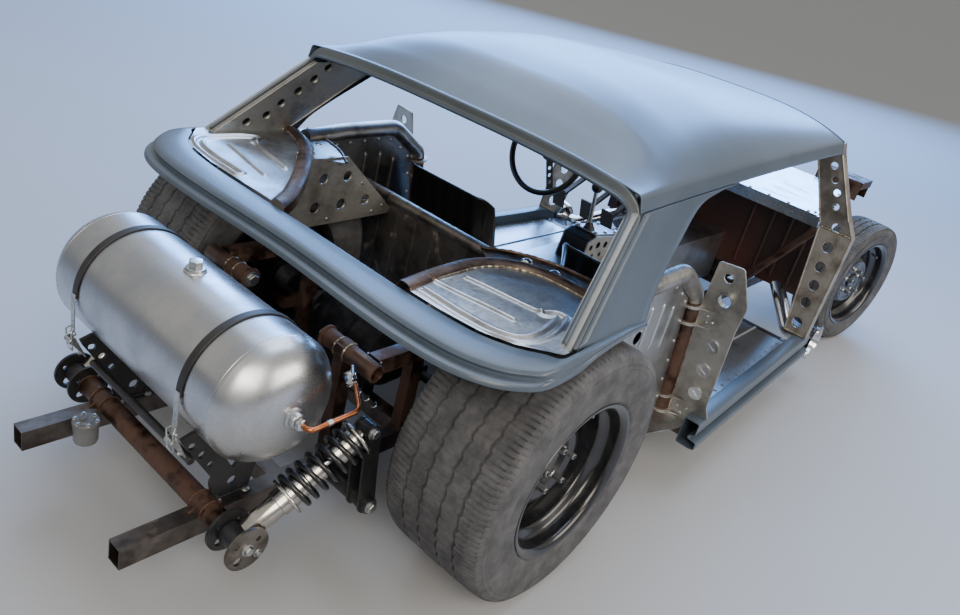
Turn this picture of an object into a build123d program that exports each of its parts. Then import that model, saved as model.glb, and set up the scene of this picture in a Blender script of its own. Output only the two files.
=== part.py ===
"""Chopped street rod on a ladder frame, with a hard top and a bare steel body.

Millimetres. X runs forward, Y to the left, Z up. While a piece is drawn, X is
measured from the rear axle line. When it is written, everything moves back by
MIDDLE_X, so that the origin is on the ground under the middle of the car.
"""
import math
import os

from build123d import *

# Driving dimensions of the whole car
WHEELBASE = 2549
TAIL_X = -825            # rear ends of the frame rails
NOSE_X = 2880            # front ends of the frame rails
MIDDLE_X = (TAIL_X + NOSE_X) / 2
SHEET = 3                # thickness of body sheet with its paint
RUN_GAP = 0.3            # running gap round a shaft that turns or slides

# Wheels: a rim flange radius of 207.5 is that of a 15 inch rim
RIM_R = 207.5
REAR_TYRE_R, REAR_TYRE_W, REAR_TYRE_Y = 336, 298, 561
REAR_RIM_HALF, REAR_HUB_Z = 144, 64
FRONT_TYRE_R, FRONT_TYRE_W = 290, 168
FRONT_RIM_HALF, FRONT_HUB_Z = 77, 35
KINGPIN_Y = 457          # steering axis, from the middle of the car
FRONT_TYRE_OUT = 76      # tyre centre plane outboard of the steering axis
STEER_AT_REST = -10.4    # degrees about Z: turned to the right, as it is parked
STUD_CIRCLE_R, STUDS = 56, 5
REAR_VENTS, FRONT_VENTS, VENT_R = 0, 12, 8

# Frame
RAIL_Y, RAIL_W, RAIL_H, RAIL_BASE = 212.5, 41, 50, 154
RAIL_TOP = RAIL_BASE + RAIL_H
RAIL_IN, RAIL_OUT = RAIL_Y - RAIL_W / 2, RAIL_Y + RAIL_W / 2
WALL = 3

# Rear crossbar and the coilovers that push against it
BAR_X, BAR_Z, BAR_R = -630, 207, 24
DISC_R, DISC_T, PIN_R = 50, 7, 9
DISC_IN_Y, DISC_OUT_Y = 292, 359
COIL_TOP = (-345, -357, 395)

# Fuel tank
TANK_X, TANK_Z, TANK_R = -567, 510.5, 140
TANK_SEAM_Y, TANK_END_Y, STRAP_Y = 292, 370, 205
STRAP_W, STRAP_T = 18, 3

# Body side: a flat plane that leans in towards the roof
SIDE_X, SIDE_Y, SIDE_Z = 126, 568, 972       # rear upper corner of the roof
SIDE_RUN, SIDE_LEAN = 0.0405, 0.317          # narrowing per mm of X and of Z
ROOF_FRONT_X = 1695
ROOF_EDGE_RISE, ROOF_EDGE_BOW = 14, 7        # side edge of the roof, over its length

# Rockers taper with the body
ROCKER_REAR_X, ROCKER_FRONT_X = 676, 1748
ROCKER_BASE, ROCKER_TOP, ROCKER_W = 162, 252, 50
ROCKER_Y, ROCKER_RUN = 719, 0.046            # outer face at the rear end, and taper

# Deck band round the tail
BAND_IN_Z, BAND_OUT_Z = 700, 660

# Cabin
FLOOR_Z = RAIL_TOP + 2
FLOOR_FRONT_X = 1660
TUNNEL_Y, TUNNEL_TOP = 110, 420
BULKHEAD_X = 372
FIREWALL_X = 1985
COWL_REAR_X, COWL_FRONT_X, COWL_Z = 1727, 2400, 697
POST_FOOT, POST_HEAD = (720, 250), (637, 709)            # X and Z of the B-post's plane
PILLAR_FOOT, PILLAR_KINK = (1680, 252), (1727, 668)      # X and Z of an A-pillar
PILLAR_HEAD = (1690, 945)
WHEEL_HUB = (1000, 262, 710)                 # centre of the steering wheel
COLUMN_FOOT = (1740, 262, 449)
EXHAUST_OUTLET, EXHAUST_R = (1852, 190), 75  # X and Z of the middle of the outlet, and its radius

# Drive line
DIFF = (-40, 0, 360)
PROP_Z = 345
DRUM_END_Y = 547         # outer face of a rear brake drum


def side_y(x, z):
    """Distance of the side plane from the middle of the car."""
    return SIDE_Y - SIDE_RUN * (x - SIDE_X) - SIDE_LEAN * (z - SIDE_Z)


def rocker_y(x):
    """Outer face of the rocker at x."""
    return ROCKER_Y - ROCKER_RUN * (x - ROCKER_REAR_X)


def box(x0, x1, y0, y1, z0, z1):
    """A block between two corners."""
    middle = Pos((x0 + x1) / 2, (y0 + y1) / 2, (z0 + z1) / 2)
    return middle * Box(abs(x1 - x0), abs(y1 - y0), abs(z1 - z0))


def rod(start, end, radius, bore=0.0):
    """A round bar or tube from start to end."""
    start, end = Vector(*start), Vector(*end)
    line = end - start
    plane = Plane(origin=start, z_dir=line)
    bar = plane * Cylinder(radius, line.length, align=(Align.CENTER, Align.CENTER, Align.MIN))
    if bore:
        bar -= plane * Cylinder(bore, line.length, align=(Align.CENTER, Align.CENTER, Align.MIN))
    return bar


def square_bar(start, end, width, height, up=(0, 0, 1)):
    """A bar of rectangular section from start to end, its height along up."""
    start, end = Vector(*start), Vector(*end)
    line = end - start
    plane = Plane(origin=start, x_dir=Vector(*up).cross(line), z_dir=line)
    return extrude(plane * Rectangle(width, height), line.length)


def bent_tube(points, radii, radius):
    """A round tube along straight runs joined by arcs."""
    path = FilletPolyline(*points, radius=radii)
    start = Plane(origin=path @ 0, z_dir=path % 0)
    return sweep(start * Circle(radius), path)


def flat(points, plane, thickness):
    """A plate: a polygon in the plane's own coordinates, made thickness deep."""
    return extrude(plane * make_face(Polyline(*points, close=True)), thickness)


def turned(points, plane=Plane.XY):
    """A solid of revolution: points are radius and distance along the plane's normal."""
    face = make_face(Polyline(*[(r, 0, z) for r, z in points], close=True))
    return plane * revolve(face, Axis.Z)


def joined(pieces):
    """All the pieces as one shape, welded where they touch."""
    whole = pieces[0]
    for piece in pieces[1:]:
        whole += piece
    return whole


def mirrored(solid):
    """The same piece on the other side of the car."""
    return mirror(solid, about=Plane.XZ)


def both_sides(solid):
    """The piece and its mirror image as one shape."""
    return solid + mirrored(solid)


def along_plane(y):
    """Drawing plane at y, with X forward and Z up."""
    return Plane(origin=(0, y, 0), x_dir=(1, 0, 0), z_dir=(0, -1, 0))


def level_plane(z):
    """Drawing plane at height z, seen from above."""
    return Plane(origin=(0, 0, z))


class Leaning:
    """A transverse plane that leans along X, with its points given as Y and Z."""

    def __init__(self, low, high):
        self.low = low
        rise = Vector(high[0] - low[0], 0, high[1] - low[1])
        self.stretch = rise.length / (high[1] - low[1])
        self.slope = (high[0] - low[0]) / (high[1] - low[1])
        normal = Vector(0, 1, 0).cross(rise)
        self.plane = Plane(origin=(low[0], 0, low[1]), x_dir=(0, 1, 0), z_dir=normal)

    def points(self, pairs):
        """Points of Y and Z in the plane's own coordinates."""
        return [(y, (z - self.low[1]) * self.stretch) for y, z in pairs]

    def x(self, z):
        """X of the plane at height z."""
        return self.low[0] + self.slope * (z - self.low[1])

    def plate(self, pairs, thickness):
        """A plate with the outline pairs."""
        return flat(self.points(pairs), self.plane, thickness)

    def hole(self, y, z, radius, depth):
        """A round bar across the plane, to cut a hole with."""
        spot = self.plane.from_local_coords(Vector(*self.points([(y, z)])[0], -depth))
        far = self.plane.from_local_coords(Vector(*self.points([(y, z)])[0], depth))
        return rod(tuple(spot), tuple(far), radius)


# Chassis

def frame_rail():
    """Right rail: a rectangular tube from tail to nose, open at both ends."""
    outer = box(TAIL_X, NOSE_X, -RAIL_OUT, -RAIL_IN, RAIL_BASE, RAIL_TOP)
    inner = box(TAIL_X, NOSE_X, -RAIL_OUT + WALL, -RAIL_IN - WALL,
                RAIL_BASE + WALL, RAIL_TOP - WALL)
    return outer - inner


def crossmembers():
    """Cross tubes between the rails, and outriggers from the rails to the rockers."""
    pieces = [box(x - 20, x + 20, -RAIL_IN, RAIL_IN, RAIL_BASE + 3, RAIL_TOP - 3)
              for x in (-440, -40, 400, 1180, 2050, 2330, 2855)]
    for x in (740, 1250, 1700):
        arm = box(x - 20, x + 20, RAIL_OUT, rocker_y(x - 20) - ROCKER_W - 1,
                  RAIL_BASE + 5, RAIL_TOP - 5)
        pieces += [arm, mirrored(arm)]
    return joined(pieces)


def crossbar():
    """Round bar over the rail ends, with two discs at each end for a coilover eye."""
    bar = rod((BAR_X, -DISC_IN_Y, BAR_Z), (BAR_X, DISC_IN_Y, BAR_Z), BAR_R)
    for sign in (-1, 1):
        for y in (DISC_IN_Y, DISC_OUT_Y):
            bar += rod((BAR_X, sign * y, BAR_Z), (BAR_X, sign * (y + DISC_T), BAR_Z), DISC_R)
        bar += rod((BAR_X, sign * DISC_IN_Y, BAR_Z), (BAR_X, sign * (DISC_OUT_Y + 16), BAR_Z), PIN_R)
    return bar


def shock_mounts():
    """Outrigger, upright and pin on each side that carry the front eye of a coilover."""
    x, y, z = COIL_TOP
    arm = box(x, x + 50, -RAIL_OUT, -(abs(y) + 16), RAIL_BASE + 5, RAIL_TOP - 5)
    post = box(x + 24, x + 50, y - 16, y + 16, RAIL_TOP - 5, z + 30)
    web = flat([(RAIL_OUT, RAIL_TOP - 5), (abs(y) - 16, RAIL_TOP - 5), (abs(y) - 16, z - 60)],
               Plane(origin=(x + 40, 0, 0), x_dir=(0, -1, 0), z_dir=(-1, 0, 0)), 8)
    ears = joined([box(x - 18, x + 24, y + s * 16, y + s * 22, z - 20, z + 20) for s in (-1, 1)])
    pin = rod((x, y - 24, z), (x, y + 24, z), PIN_R)
    return both_sides(arm + post + web + ears + box(x + 24, x + 30, y - 22, y + 22, z - 20, z + 20) + pin)


def coilover():
    """Right rear damper with its coil spring, from the crossbar up to its front pin."""
    low = Vector(BAR_X, -(DISC_IN_Y + DISC_T + DISC_OUT_Y) / 2, BAR_Z)
    high = Vector(*COIL_TOP)
    line = high - low
    body_r, seat_r, spring_r, coil_r = 25, 44, 40, 6
    first, last, turns = 0.40, 0.90, 7
    pitch = line.length * (last - first) / turns
    start = line.length * first
    points = [(0, 22), (body_r, 22), (body_r, start - 14), (seat_r, start - 14), (seat_r, start)]
    for turn in range(turns):
        points += [(spring_r - coil_r, start + (turn + 0.3) * pitch),
                   (spring_r + coil_r, start + (turn + 0.65) * pitch)]
    end = line.length * last
    points += [(seat_r, end), (seat_r, end + 8), (14, end + 8), (14, line.length - 16),
               (0, line.length - 16)]
    body = turned(points, Plane(origin=low, z_dir=line))
    eye_low = rod((low.X, low.Y - 30, low.Z), (low.X, low.Y + 30, low.Z), 27)
    eye_high = rod((high.X, high.Y - 16, high.Z), (high.X, high.Y + 16, high.Z), 18)
    pins = rod((low.X, low.Y - 40, low.Z), (low.X, low.Y + 40, low.Z), PIN_R)
    pins += rod((high.X, high.Y - 40, high.Z), (high.X, high.Y + 40, high.Z), PIN_R)
    return body + eye_low + eye_high - pins


# Fuel tank and what holds it

def fuel_tank():
    """Spun tank with domed ends, a filler boss on top and an outlet boss on the right."""
    line = [Line((0, -TANK_END_Y), (0, TANK_END_Y)),
            ThreePointArc((0, TANK_END_Y), (62, TANK_END_Y - 6), (104, TANK_END_Y - 26)),
            ThreePointArc((104, TANK_END_Y - 26), (129, TANK_END_Y - 47), (TANK_R, TANK_SEAM_Y)),
            Line((TANK_R, TANK_SEAM_Y), (TANK_R, -TANK_SEAM_Y)),
            ThreePointArc((TANK_R, -TANK_SEAM_Y), (129, 47 - TANK_END_Y), (104, 26 - TANK_END_Y)),
            ThreePointArc((104, 26 - TANK_END_Y), (62, 6 - TANK_END_Y), (0, -TANK_END_Y))]
    shell = Pos(TANK_X, 0, TANK_Z) * revolve(make_face(line), Axis.Y)
    top = TANK_Z + TANK_R
    neck = rod((TANK_X, -8, top - 6), (TANK_X, -8, top + 8), 20)
    cap = rod((TANK_X, -8, top + 8), (TANK_X, -8, top + 24), 16)
    outlet = rod((TANK_X, -TANK_END_Y + 12, TANK_Z), (TANK_X, -TANK_END_Y - 14, TANK_Z), 16)
    return shell + neck + cap + outlet


def tank_straps():
    """Two bands over the tank, each with its toggle latch on the rear side."""
    pieces = []
    for y in (-STRAP_Y, STRAP_Y):
        ring = rod((TANK_X, y - STRAP_W / 2, TANK_Z), (TANK_X, y + STRAP_W / 2, TANK_Z),
                   TANK_R + STRAP_T, TANK_R)
        band = ring - box(TANK_X - 200, TANK_X + 200, y - 20, y + 20, TANK_Z - 200, TANK_Z - 60)
        edge_x = TANK_X - math.sqrt(TANK_R ** 2 - 60 ** 2)
        latch = box(edge_x - 12, edge_x, y - 12, y + 12, TANK_Z - 130, TANK_Z - 52)
        pieces.append(band + latch)
    return joined(pieces)


def tank_cradle():
    """Two drilled saddle plates on the rails, tied by cross tubes."""
    profile = [(-42, 0), (42, 0), (56, 60), (122, 178), (146, 262), (-132, 200), (-122, 178), (-56, 60)]
    holes = ((0, 45), (-58, 105), (58, 105), (-104, 178), (104, 178), (0, 108))
    pieces = []
    for y in (-STRAP_Y, STRAP_Y):
        plane = Plane(origin=(TANK_X, y + 4, RAIL_TOP), x_dir=(1, 0, 0), z_dir=(0, -1, 0))
        plate = flat(profile, plane, 8)
        plate -= rod((TANK_X, y - 10, TANK_Z), (TANK_X, y + 10, TANK_Z), TANK_R + STRAP_T)
        for dx, dz in holes:
            spot = (TANK_X + dx, y - 10, RAIL_TOP + dz)
            plate -= rod(spot, (spot[0], y + 10, spot[2]), 12)
        pieces.append(plate + box(TANK_X - 42, TANK_X + 42, y - 15, y + 15, RAIL_TOP, RAIL_TOP + 5))
    for dx in (-100, 100):
        z = RAIL_TOP + 130
        pieces.append(rod((TANK_X + dx, -STRAP_Y + 2, z), (TANK_X + dx, STRAP_Y - 2, z), 9))
    return joined(pieces)


def fuel_pipe():
    """Bent pipe from the tank outlet round to the shut-off valve on its bracket."""
    y0 = -TANK_END_Y - 14
    points = [(TANK_X, y0, TANK_Z), (TANK_X, y0 - 30, TANK_Z), (TANK_X + 120, y0 - 30, TANK_Z + 6),
              (TANK_X + 160, y0 + 40, TANK_Z + 20)]
    pipe = bent_tube(points, [22, 30], 6)
    valve = box(TANK_X + 148, TANK_X + 178, y0 + 30, y0 + 62, TANK_Z + 4, TANK_Z + 38)
    bracket = square_bar((TANK_X + 163, y0 + 46, TANK_Z + 4), (-310, -357, 425), 16, 6, (0, 1, 0))
    return pipe + valve + bracket


def filter_canister():
    """Canister bolted by its pad to the inner face of the left rail, behind the crossbar."""
    x, radius = -700, 27
    y = RAIL_IN - radius - 4
    pad = box(x - 16, x + 16, y, RAIL_IN, RAIL_BASE + 8, RAIL_TOP - 10)
    body = rod((x, y, RAIL_BASE), (x, y, RAIL_TOP), radius)
    return pad + body + rod((x, y, RAIL_TOP), (x, y, RAIL_TOP + 12), radius + 3)


# Rear suspension and drive line

def boot(start, end, wide, narrow, folds=4):
    """A rubber bellows from start to end, with rings that get smaller."""
    start, end = Vector(*start), Vector(*end)
    line = end - start
    step = line.length / (2 * folds)
    points = [(0, 0)]
    for k in range(2 * folds + 1):
        size = wide + (narrow - wide) * k / (2 * folds)
        points.append((size if k % 2 == 0 else size - 9, k * step))
    points.append((0, line.length))
    return turned(points, Plane(origin=start, z_dir=line))


def rear_driveline():
    """Differential, half shafts with their boots, and the brake drums with hub stubs."""
    x, y, z = DIFF
    barrel = turned([(0, -150), (58, -150), (92, -118), (122, -55), (122, 55), (92, 118), (58, 150), (0, 150)],
                    Plane(origin=DIFF, z_dir=(0, 1, 0)))
    feet = box(x - 30, x + 10, -70, 70, RAIL_TOP - 3, z - 100)
    nose = rod((x + 100, 0, z - 8), (250, 0, PROP_Z), 58)
    side = rod((x, -140, z), (0, -400, REAR_TYRE_R), 13)
    side += boot((x + 2, -148, z - 1), (x + 16, -215, z - 9), 48, 27)
    side += boot((-2, -392, REAR_TYRE_R + 1), (-13, -325, REAR_TYRE_R + 7), 48, 27)
    side += rod((0, -388, REAR_TYRE_R), (0, -420, REAR_TYRE_R), 62)
    side += rod((0, -420, REAR_TYRE_R), (0, -DRUM_END_Y, REAR_TYRE_R), 115)
    side += rod((0, -DRUM_END_Y, REAR_TYRE_R), (0, -REAR_TYRE_Y - 45, REAR_TYRE_R), 18)
    return barrel + feet + nose + both_sides(side)


def rear_arms():
    """Trailing arms to the hubs, and upper link mounts on uprights from the rails."""
    trailing = square_bar((330, -258, 182), (20, -352, 262), 40, 46)
    trailing += box(-42, 42, -388, -330, 262, 300)
    trailing += box(300, 350, -280, -RAIL_OUT, 164, 200)
    upper = joined([box(x - 20, x + 20, -RAIL_OUT + 4, -RAIL_IN - 4, RAIL_TOP, 520) for x in (-308, -62)])
    upper += rod((-308, -154, 506), (-308, -318, 499), 21)
    upper += rod((-308, -146, 506), (-308, -154, 506), 26)
    upper += square_bar((-308, -285, 500), (-62, -285, 500), 38, 42)
    upper += box(-82, -42, -290, -RAIL_IN - 4, 480, 520)
    return both_sides(trailing + upper)


def engine_block():
    """Engine as a plain block, gearbox, and propeller shaft to the differential."""
    engine = box(2000, 2380, -165, 165, RAIL_TOP - 3, 650)
    gearbox = box(1500, 2000, -92, 92, 250, 410)
    tail = rod((980, 0, 335), (1500, 0, 335), 62)
    shaft = rod((250, 0, PROP_Z), (980, 0, 338), 34)
    return engine + gearbox + tail + shaft


# Wheels. Each is drawn with its axle along Z and its outer face towards +Z

def wheel_plane(sign, front):
    """Plane at a wheel's centre, with its normal along the axle and outwards."""
    if not front:
        return Plane(origin=(0, sign * REAR_TYRE_Y, REAR_TYRE_R), z_dir=(0, sign, 0))
    turn = math.radians(STEER_AT_REST)
    out = Vector(-sign * math.sin(turn), sign * math.cos(turn), 0)
    kingpin = Vector(WHEELBASE, sign * KINGPIN_Y, FRONT_TYRE_R)
    return Plane(origin=kingpin + out * FRONT_TYRE_OUT, x_dir=(0, 0, 1), z_dir=out)


def rim(half, hub_z, shaft_r, vents):
    """Steel rim of half width, with its disc and vents, studs and a hub bored for a shaft."""
    tyre_side = [(RIM_R, -half), (RIM_R, 4 - half), (191, 10 - half), (188, 32 - half), (166, 44 - half),
                 (166, half - 60), (188, half - 46), (191, half - 10), (RIM_R, half - 4), (RIM_R, half)]
    inside = [(203, half), (186.5, half - 8), (183.5, half - 44), (161.5, half - 57),
              (161.5, 42 - half), (183.5, 30 - half), (186.5, 8 - half), (203, -half)]
    barrel = turned(tyre_side + inside)
    disc = turned([(36, hub_z), (84, hub_z), (110, hub_z - 8), (138, hub_z - 26), (163, hub_z - 30),
                   (163, hub_z - 36), (136, hub_z - 32), (107, hub_z - 14), (82, hub_z - 6),
                   (36, hub_z - 6)])
    for k in range(vents):
        disc -= Rot(0, 0, 360 / vents * k) * Pos(124, 0, hub_z - 18) * Cylinder(VENT_R, 60)
    hub = rod((0, 0, hub_z - 6), (0, 0, hub_z + 8), 37) + rod((0, 0, -6), (0, 0, hub_z - 6), 42)
    hub -= rod((0, 0, -20), (0, 0, hub_z - 12), shaft_r + RUN_GAP)
    wheel = barrel + disc + hub
    for k in range(STUDS):
        stud = rod((STUD_CIRCLE_R, 0, hub_z - 3), (STUD_CIRCLE_R, 0, hub_z + 22), 8)
        wheel += Rot(0, 0, 360 / STUDS * k) * stud
    return wheel


def tyre(radius, width, rim_half):
    """Tyre with rounded shoulders, a crowned tread and its beads on the rim's seats."""
    half = width / 2
    tread = half * 0.83
    bead, lip = rim_half - 10, rim_half - 4
    face = make_face([
        Line((191, -bead), (RIM_R, -lip)),
        ThreePointArc((RIM_R, -lip), ((RIM_R + radius) / 2 - 8, -half), (radius - 22, -half + 6)),
        ThreePointArc((radius - 22, -half + 6), (radius - 9, -half + 12), (radius - 4, -tread)),
        ThreePointArc((radius - 4, -tread), (radius, 0), (radius - 4, tread)),
        ThreePointArc((radius - 4, tread), (radius - 9, half - 12), (radius - 22, half - 6)),
        ThreePointArc((radius - 22, half - 6), ((RIM_R + radius) / 2 - 8, half), (RIM_R, lip)),
        Line((RIM_R, lip), (191, bead)),
        Line((191, bead), (191, -bead))])
    return revolve(face, Axis.Y)


def placed_tyre(sign, front):
    """A tyre on its wheel's axle."""
    if front:
        upright = Rot(90, 0, 0) * tyre(FRONT_TYRE_R, FRONT_TYRE_W, FRONT_RIM_HALF)
    else:
        upright = Rot(90, 0, 0) * tyre(REAR_TYRE_R, REAR_TYRE_W, REAR_RIM_HALF)
    return wheel_plane(sign, front) * upright


def wheel(sign, front):
    """A rim on its axle; a front one also has its brake disc on the hub."""
    if not front:
        return wheel_plane(sign, front) * rim(REAR_RIM_HALF, REAR_HUB_Z, 18, REAR_VENTS)
    whole = rim(FRONT_RIM_HALF, FRONT_HUB_Z, 16, FRONT_VENTS)
    disc = rod((0, 0, -32), (0, 0, -22), 118) + rod((0, 0, -24), (0, 0, -6), 42)
    return wheel_plane(sign, front) * (whole + disc - rod((0, 0, -40), (0, 0, 0), 16 + RUN_GAP))


# Front end and steering

KNUCKLE_LOW, KNUCKLE_HIGH = FRONT_TYRE_R - 90, FRONT_TYRE_R + 90
BALL_LOW_Z, BALL_HIGH_Z = FRONT_TYRE_R - 109, FRONT_TYRE_R + 107
ARM_REACH, ARM_Z = 120, FRONT_TYRE_R - 35    # steering arm behind the kingpin


def knuckle(sign):
    """Upright with its stub axle and the steering arm behind it."""
    x, y, z = WHEELBASE, sign * KINGPIN_Y, FRONT_TYRE_R
    turn = math.radians(STEER_AT_REST)
    out = Vector(-sign * math.sin(turn), sign * math.cos(turn), 0)
    back = Vector(-math.cos(turn), -math.sin(turn), 0)
    upright = rod((x, y, KNUCKLE_LOW), (x, y, KNUCKLE_HIGH), 22)
    upright -= rod((x, y, KNUCKLE_LOW), (x, y, KNUCKLE_LOW + 32), 8 + RUN_GAP)
    upright -= rod((x, y, KNUCKLE_HIGH - 32), (x, y, KNUCKLE_HIGH), 8 + RUN_GAP)
    centre = Vector(x, y, z)
    stub = rod(tuple(centre), tuple(centre + out * (FRONT_TYRE_OUT + FRONT_HUB_Z - 16)), 16)
    stub += rod(tuple(centre), tuple(centre + out * 26), 30)
    root = Vector(x, y, ARM_Z)
    arm = square_bar(tuple(root + back * 14), tuple(root + back * ARM_REACH), 26, 12)
    arm += rod(tuple(root + back * ARM_REACH - Vector(0, 0, 6)),
               tuple(root + back * ARM_REACH + Vector(0, 0, 6)), 16)
    return upright + stub + arm


def arm_eye_y(sign):
    """Y of a steering arm's eye as the car is parked."""
    return sign * KINGPIN_Y - ARM_REACH * math.sin(math.radians(STEER_AT_REST))


RACK_X = WHEELBASE - ARM_REACH * math.cos(math.radians(STEER_AT_REST))
RACK_Z = ARM_Z - 22


def steering_rack():
    """Sliding rack bar with its tie rods out to the steering arms."""
    return rod((RACK_X, arm_eye_y(-1) - 10, RACK_Z), (RACK_X, arm_eye_y(1) + 10, RACK_Z), 8)


def rack_housing():
    """Tube round the rack, on a bracket over each rail."""
    housing = rod((RACK_X, -RAIL_OUT, RACK_Z), (RACK_X, RAIL_OUT, RACK_Z), 24)
    for sign in (-1, 1):
        housing += box(RACK_X - 17, RACK_X + 17, sign * (RAIL_IN + 3), sign * (RAIL_OUT - 3),
                       RAIL_TOP, RACK_Z)
    return housing - rod((RACK_X, -300, RACK_Z), (RACK_X, 300, RACK_Z), 8 + RUN_GAP)


def front_suspension():
    """Wishbones, coilovers, and a tower over each front wheel's inner side."""
    x, y = WHEELBASE, -KINGPIN_Y
    side = box(x - 32, x + 32, -262, -RAIL_OUT, RAIL_BASE + 6, 700)
    side += box(x - 75, x + 75, -445, -RAIL_OUT, 700, 733)
    side += box(x - 75, x - 69, -440, -RAIL_OUT, 648, 700) + box(x + 69, x + 75, -440, -RAIL_OUT, 648, 700)
    for dx in (-105, 105):
        side += rod((x + dx, -RAIL_OUT - 4, BALL_LOW_Z - 8), (x, y + 4, BALL_LOW_Z), 13)
        side += rod((x + dx * 0.5, -252, BALL_HIGH_Z + 28), (x, y + 4, BALL_HIGH_Z), 11)
    side += box(x - 62, x + 62, -262, -RAIL_OUT, BALL_HIGH_Z + 16, BALL_HIGH_Z + 40)
    side += rod((x, y, BALL_LOW_Z - 12), (x, y, KNUCKLE_LOW - 6), 20)
    side += rod((x, y, BALL_LOW_Z), (x, y, KNUCKLE_LOW + 26), 8)
    side += rod((x, y, KNUCKLE_HIGH + 6), (x, y, BALL_HIGH_Z + 12), 20)
    side += rod((x, y, KNUCKLE_HIGH - 26), (x, y, BALL_HIGH_Z), 8)
    return both_sides(side)


def front_coilovers():
    """A damper with its coil spring between each lower wishbone and its tower."""
    low, high = Vector(WHEELBASE, -330, BALL_LOW_Z), Vector(WHEELBASE, -318, 700)
    points = [(0, 0), (22, 0), (22, 170), (40, 170)]
    turns, pitch = 8, 30
    for turn in range(turns):
        points += [(30, 178 + turn * pitch), (41, 192 + turn * pitch)]
    points += [(40, 430), (14, 430), (14, (high - low).length), (0, (high - low).length)]
    damper = turned(points, Plane(origin=low, z_dir=high - low))
    saddle = rod((WHEELBASE - 40, -330, BALL_LOW_Z - 6), (WHEELBASE + 40, -330, BALL_LOW_Z - 6), 12)
    return both_sides(damper + saddle)


COLUMN_LINE = (Vector(*WHEEL_HUB) - Vector(*COLUMN_FOOT)).normalized()


def steering_column():
    """Column tube from the footwell up towards the driver, with its shaft to the rack."""
    low, high = Vector(*COLUMN_FOOT), Vector(*WHEEL_HUB) - COLUMN_LINE * 60
    tube = rod(tuple(low), tuple(high), 24) - rod(tuple(high - COLUMN_LINE * 120), tuple(high), 11 + RUN_GAP)
    firewall_spot = low + COLUMN_LINE * ((FIREWALL_X - 3 - low.X) / COLUMN_LINE.X)
    return tube + rod(tuple(low), tuple(firewall_spot), 14)


def steering_wheel():
    """Thin steering wheel with three drilled spokes and the top of its shaft."""
    plane = Plane(origin=WHEEL_HUB, x_dir=(0, 1, 0), z_dir=tuple(COLUMN_LINE))
    ring = plane * Torus(150, 11)
    hub = plane * rod((0, 0, -50), (0, 0, -8), 30) + plane * rod((0, 0, -150), (0, 0, -50), 11)
    spokes = plane * box(20, 144, -13, 13, -12, -8)
    for k in (1, 2):
        spokes += plane * (Rot(0, 0, 120 * k) * box(20, 144, -13, 13, -12, -8))
    holes = joined([plane * (Rot(0, 0, 120 * k) * rod((r, 0, -20), (r, 0, 0), 7))
                    for k in range(3) for r in (58, 84, 110)])
    return ring + hub + (spokes - holes)


# Body

CROWN_STATIONS = (         # place along the roof from 0 to 1, height of its middle over its side edges
    (0.0, 25), (0.05, 72), (0.12, 120), (0.22, 141), (0.36, 146), (0.60, 119), (0.80, 90), (1.0, 62))
DOME_POWER = 3.2           # how square the dome is across: 2 is a parabola
DOME_POINTS = (0.9, 0.8, 0.62, 0.4)    # shares of the half width where the section's arcs pass


def roof_edge(t):
    """X and Z of the roof's side edge, at t along its length."""
    return (SIDE_X + (ROOF_FRONT_X - SIDE_X) * t,
            SIDE_Z + ROOF_EDGE_RISE * t + ROOF_EDGE_BOW * 4 * t * (1 - t))


def roof_arcs(t, crown, inset):
    """Section of the roof skin as edges from the right side strip to the left one."""
    x, z = roof_edge(t)
    half = side_y(x, z) - inset
    low = z - 40
    foot = side_y(x, low) - inset
    right = [(x, -share * half, z + (crown - inset) * (1 - share ** DOME_POWER)) for share in DOME_POINTS]
    left = [(x, -y, height) for _, y, height in reversed(right)]
    return [Line((x, -foot, low), (x, -half, z)),
            ThreePointArc((x, -half, z), right[0], right[1]),
            ThreePointArc(right[1], right[2], right[3]),
            ThreePointArc(right[3], (x, 0, z + crown - inset), left[0]),
            ThreePointArc(left[0], left[1], left[2]),
            ThreePointArc(left[2], left[3], (x, half, z)),
            Line((x, half, z), (x, foot, low))]


def roof_section(t, crown):
    """Closed thin section of the roof skin."""
    outer, inner = roof_arcs(t, crown, 0), roof_arcs(t, crown, SHEET)
    ends = [Line(outer[0] @ 0, inner[0] @ 0), Line(outer[-1] @ 1, inner[-1] @ 1)]
    return make_face(outer + inner + ends)


def side_skin():
    """Right rear pillar skin: its raked rear edge, and the window's rounded rear corner."""
    run = Vector(1, SIDE_RUN, 0).normalized()
    slope = Vector(0, SIDE_LEAN, 1)
    plane = Plane(origin=(SIDE_X, -SIDE_Y, SIDE_Z), x_dir=run, z_dir=run.cross(slope))

    def at(x, z):
        spot = plane.to_local_coords(Vector(x, -side_y(x, z), z))
        return (spot.X, spot.Y)

    outline = [Polyline(at(171, 690), at(-185, 690), at(-161, 712), at(98, 937), at(SIDE_X, SIDE_Z),
                        at(663, 983), at(663, 942)),
               ThreePointArc(at(663, 942), at(440, 917), at(336, 850)),
               ThreePointArc(at(336, 850), at(217, 756), at(171, 690))]
    return extrude(plane * make_face(outline), SHEET, dir=tuple(run.cross(slope) * -1))


def roof_shell():
    """Roof skin with its side strips and the skins of both rear pillars, in one piece."""
    sections = [roof_section(t, crown) for t, crown in CROWN_STATIONS]
    return loft(sections, ruled=True) + both_sides(side_skin())


PILLAR_HOLES = ((-30, 741), (29, 763), (65, 803), (109, 843), (149, 883), (184, 920))


PILLAR_WEB = ((-139, 706), (3, 706), (270, 938), (128, 938))     # X and Z of the web's corners
PILLAR_WALL = 5            # width of the folded edges, measured along X


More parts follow.
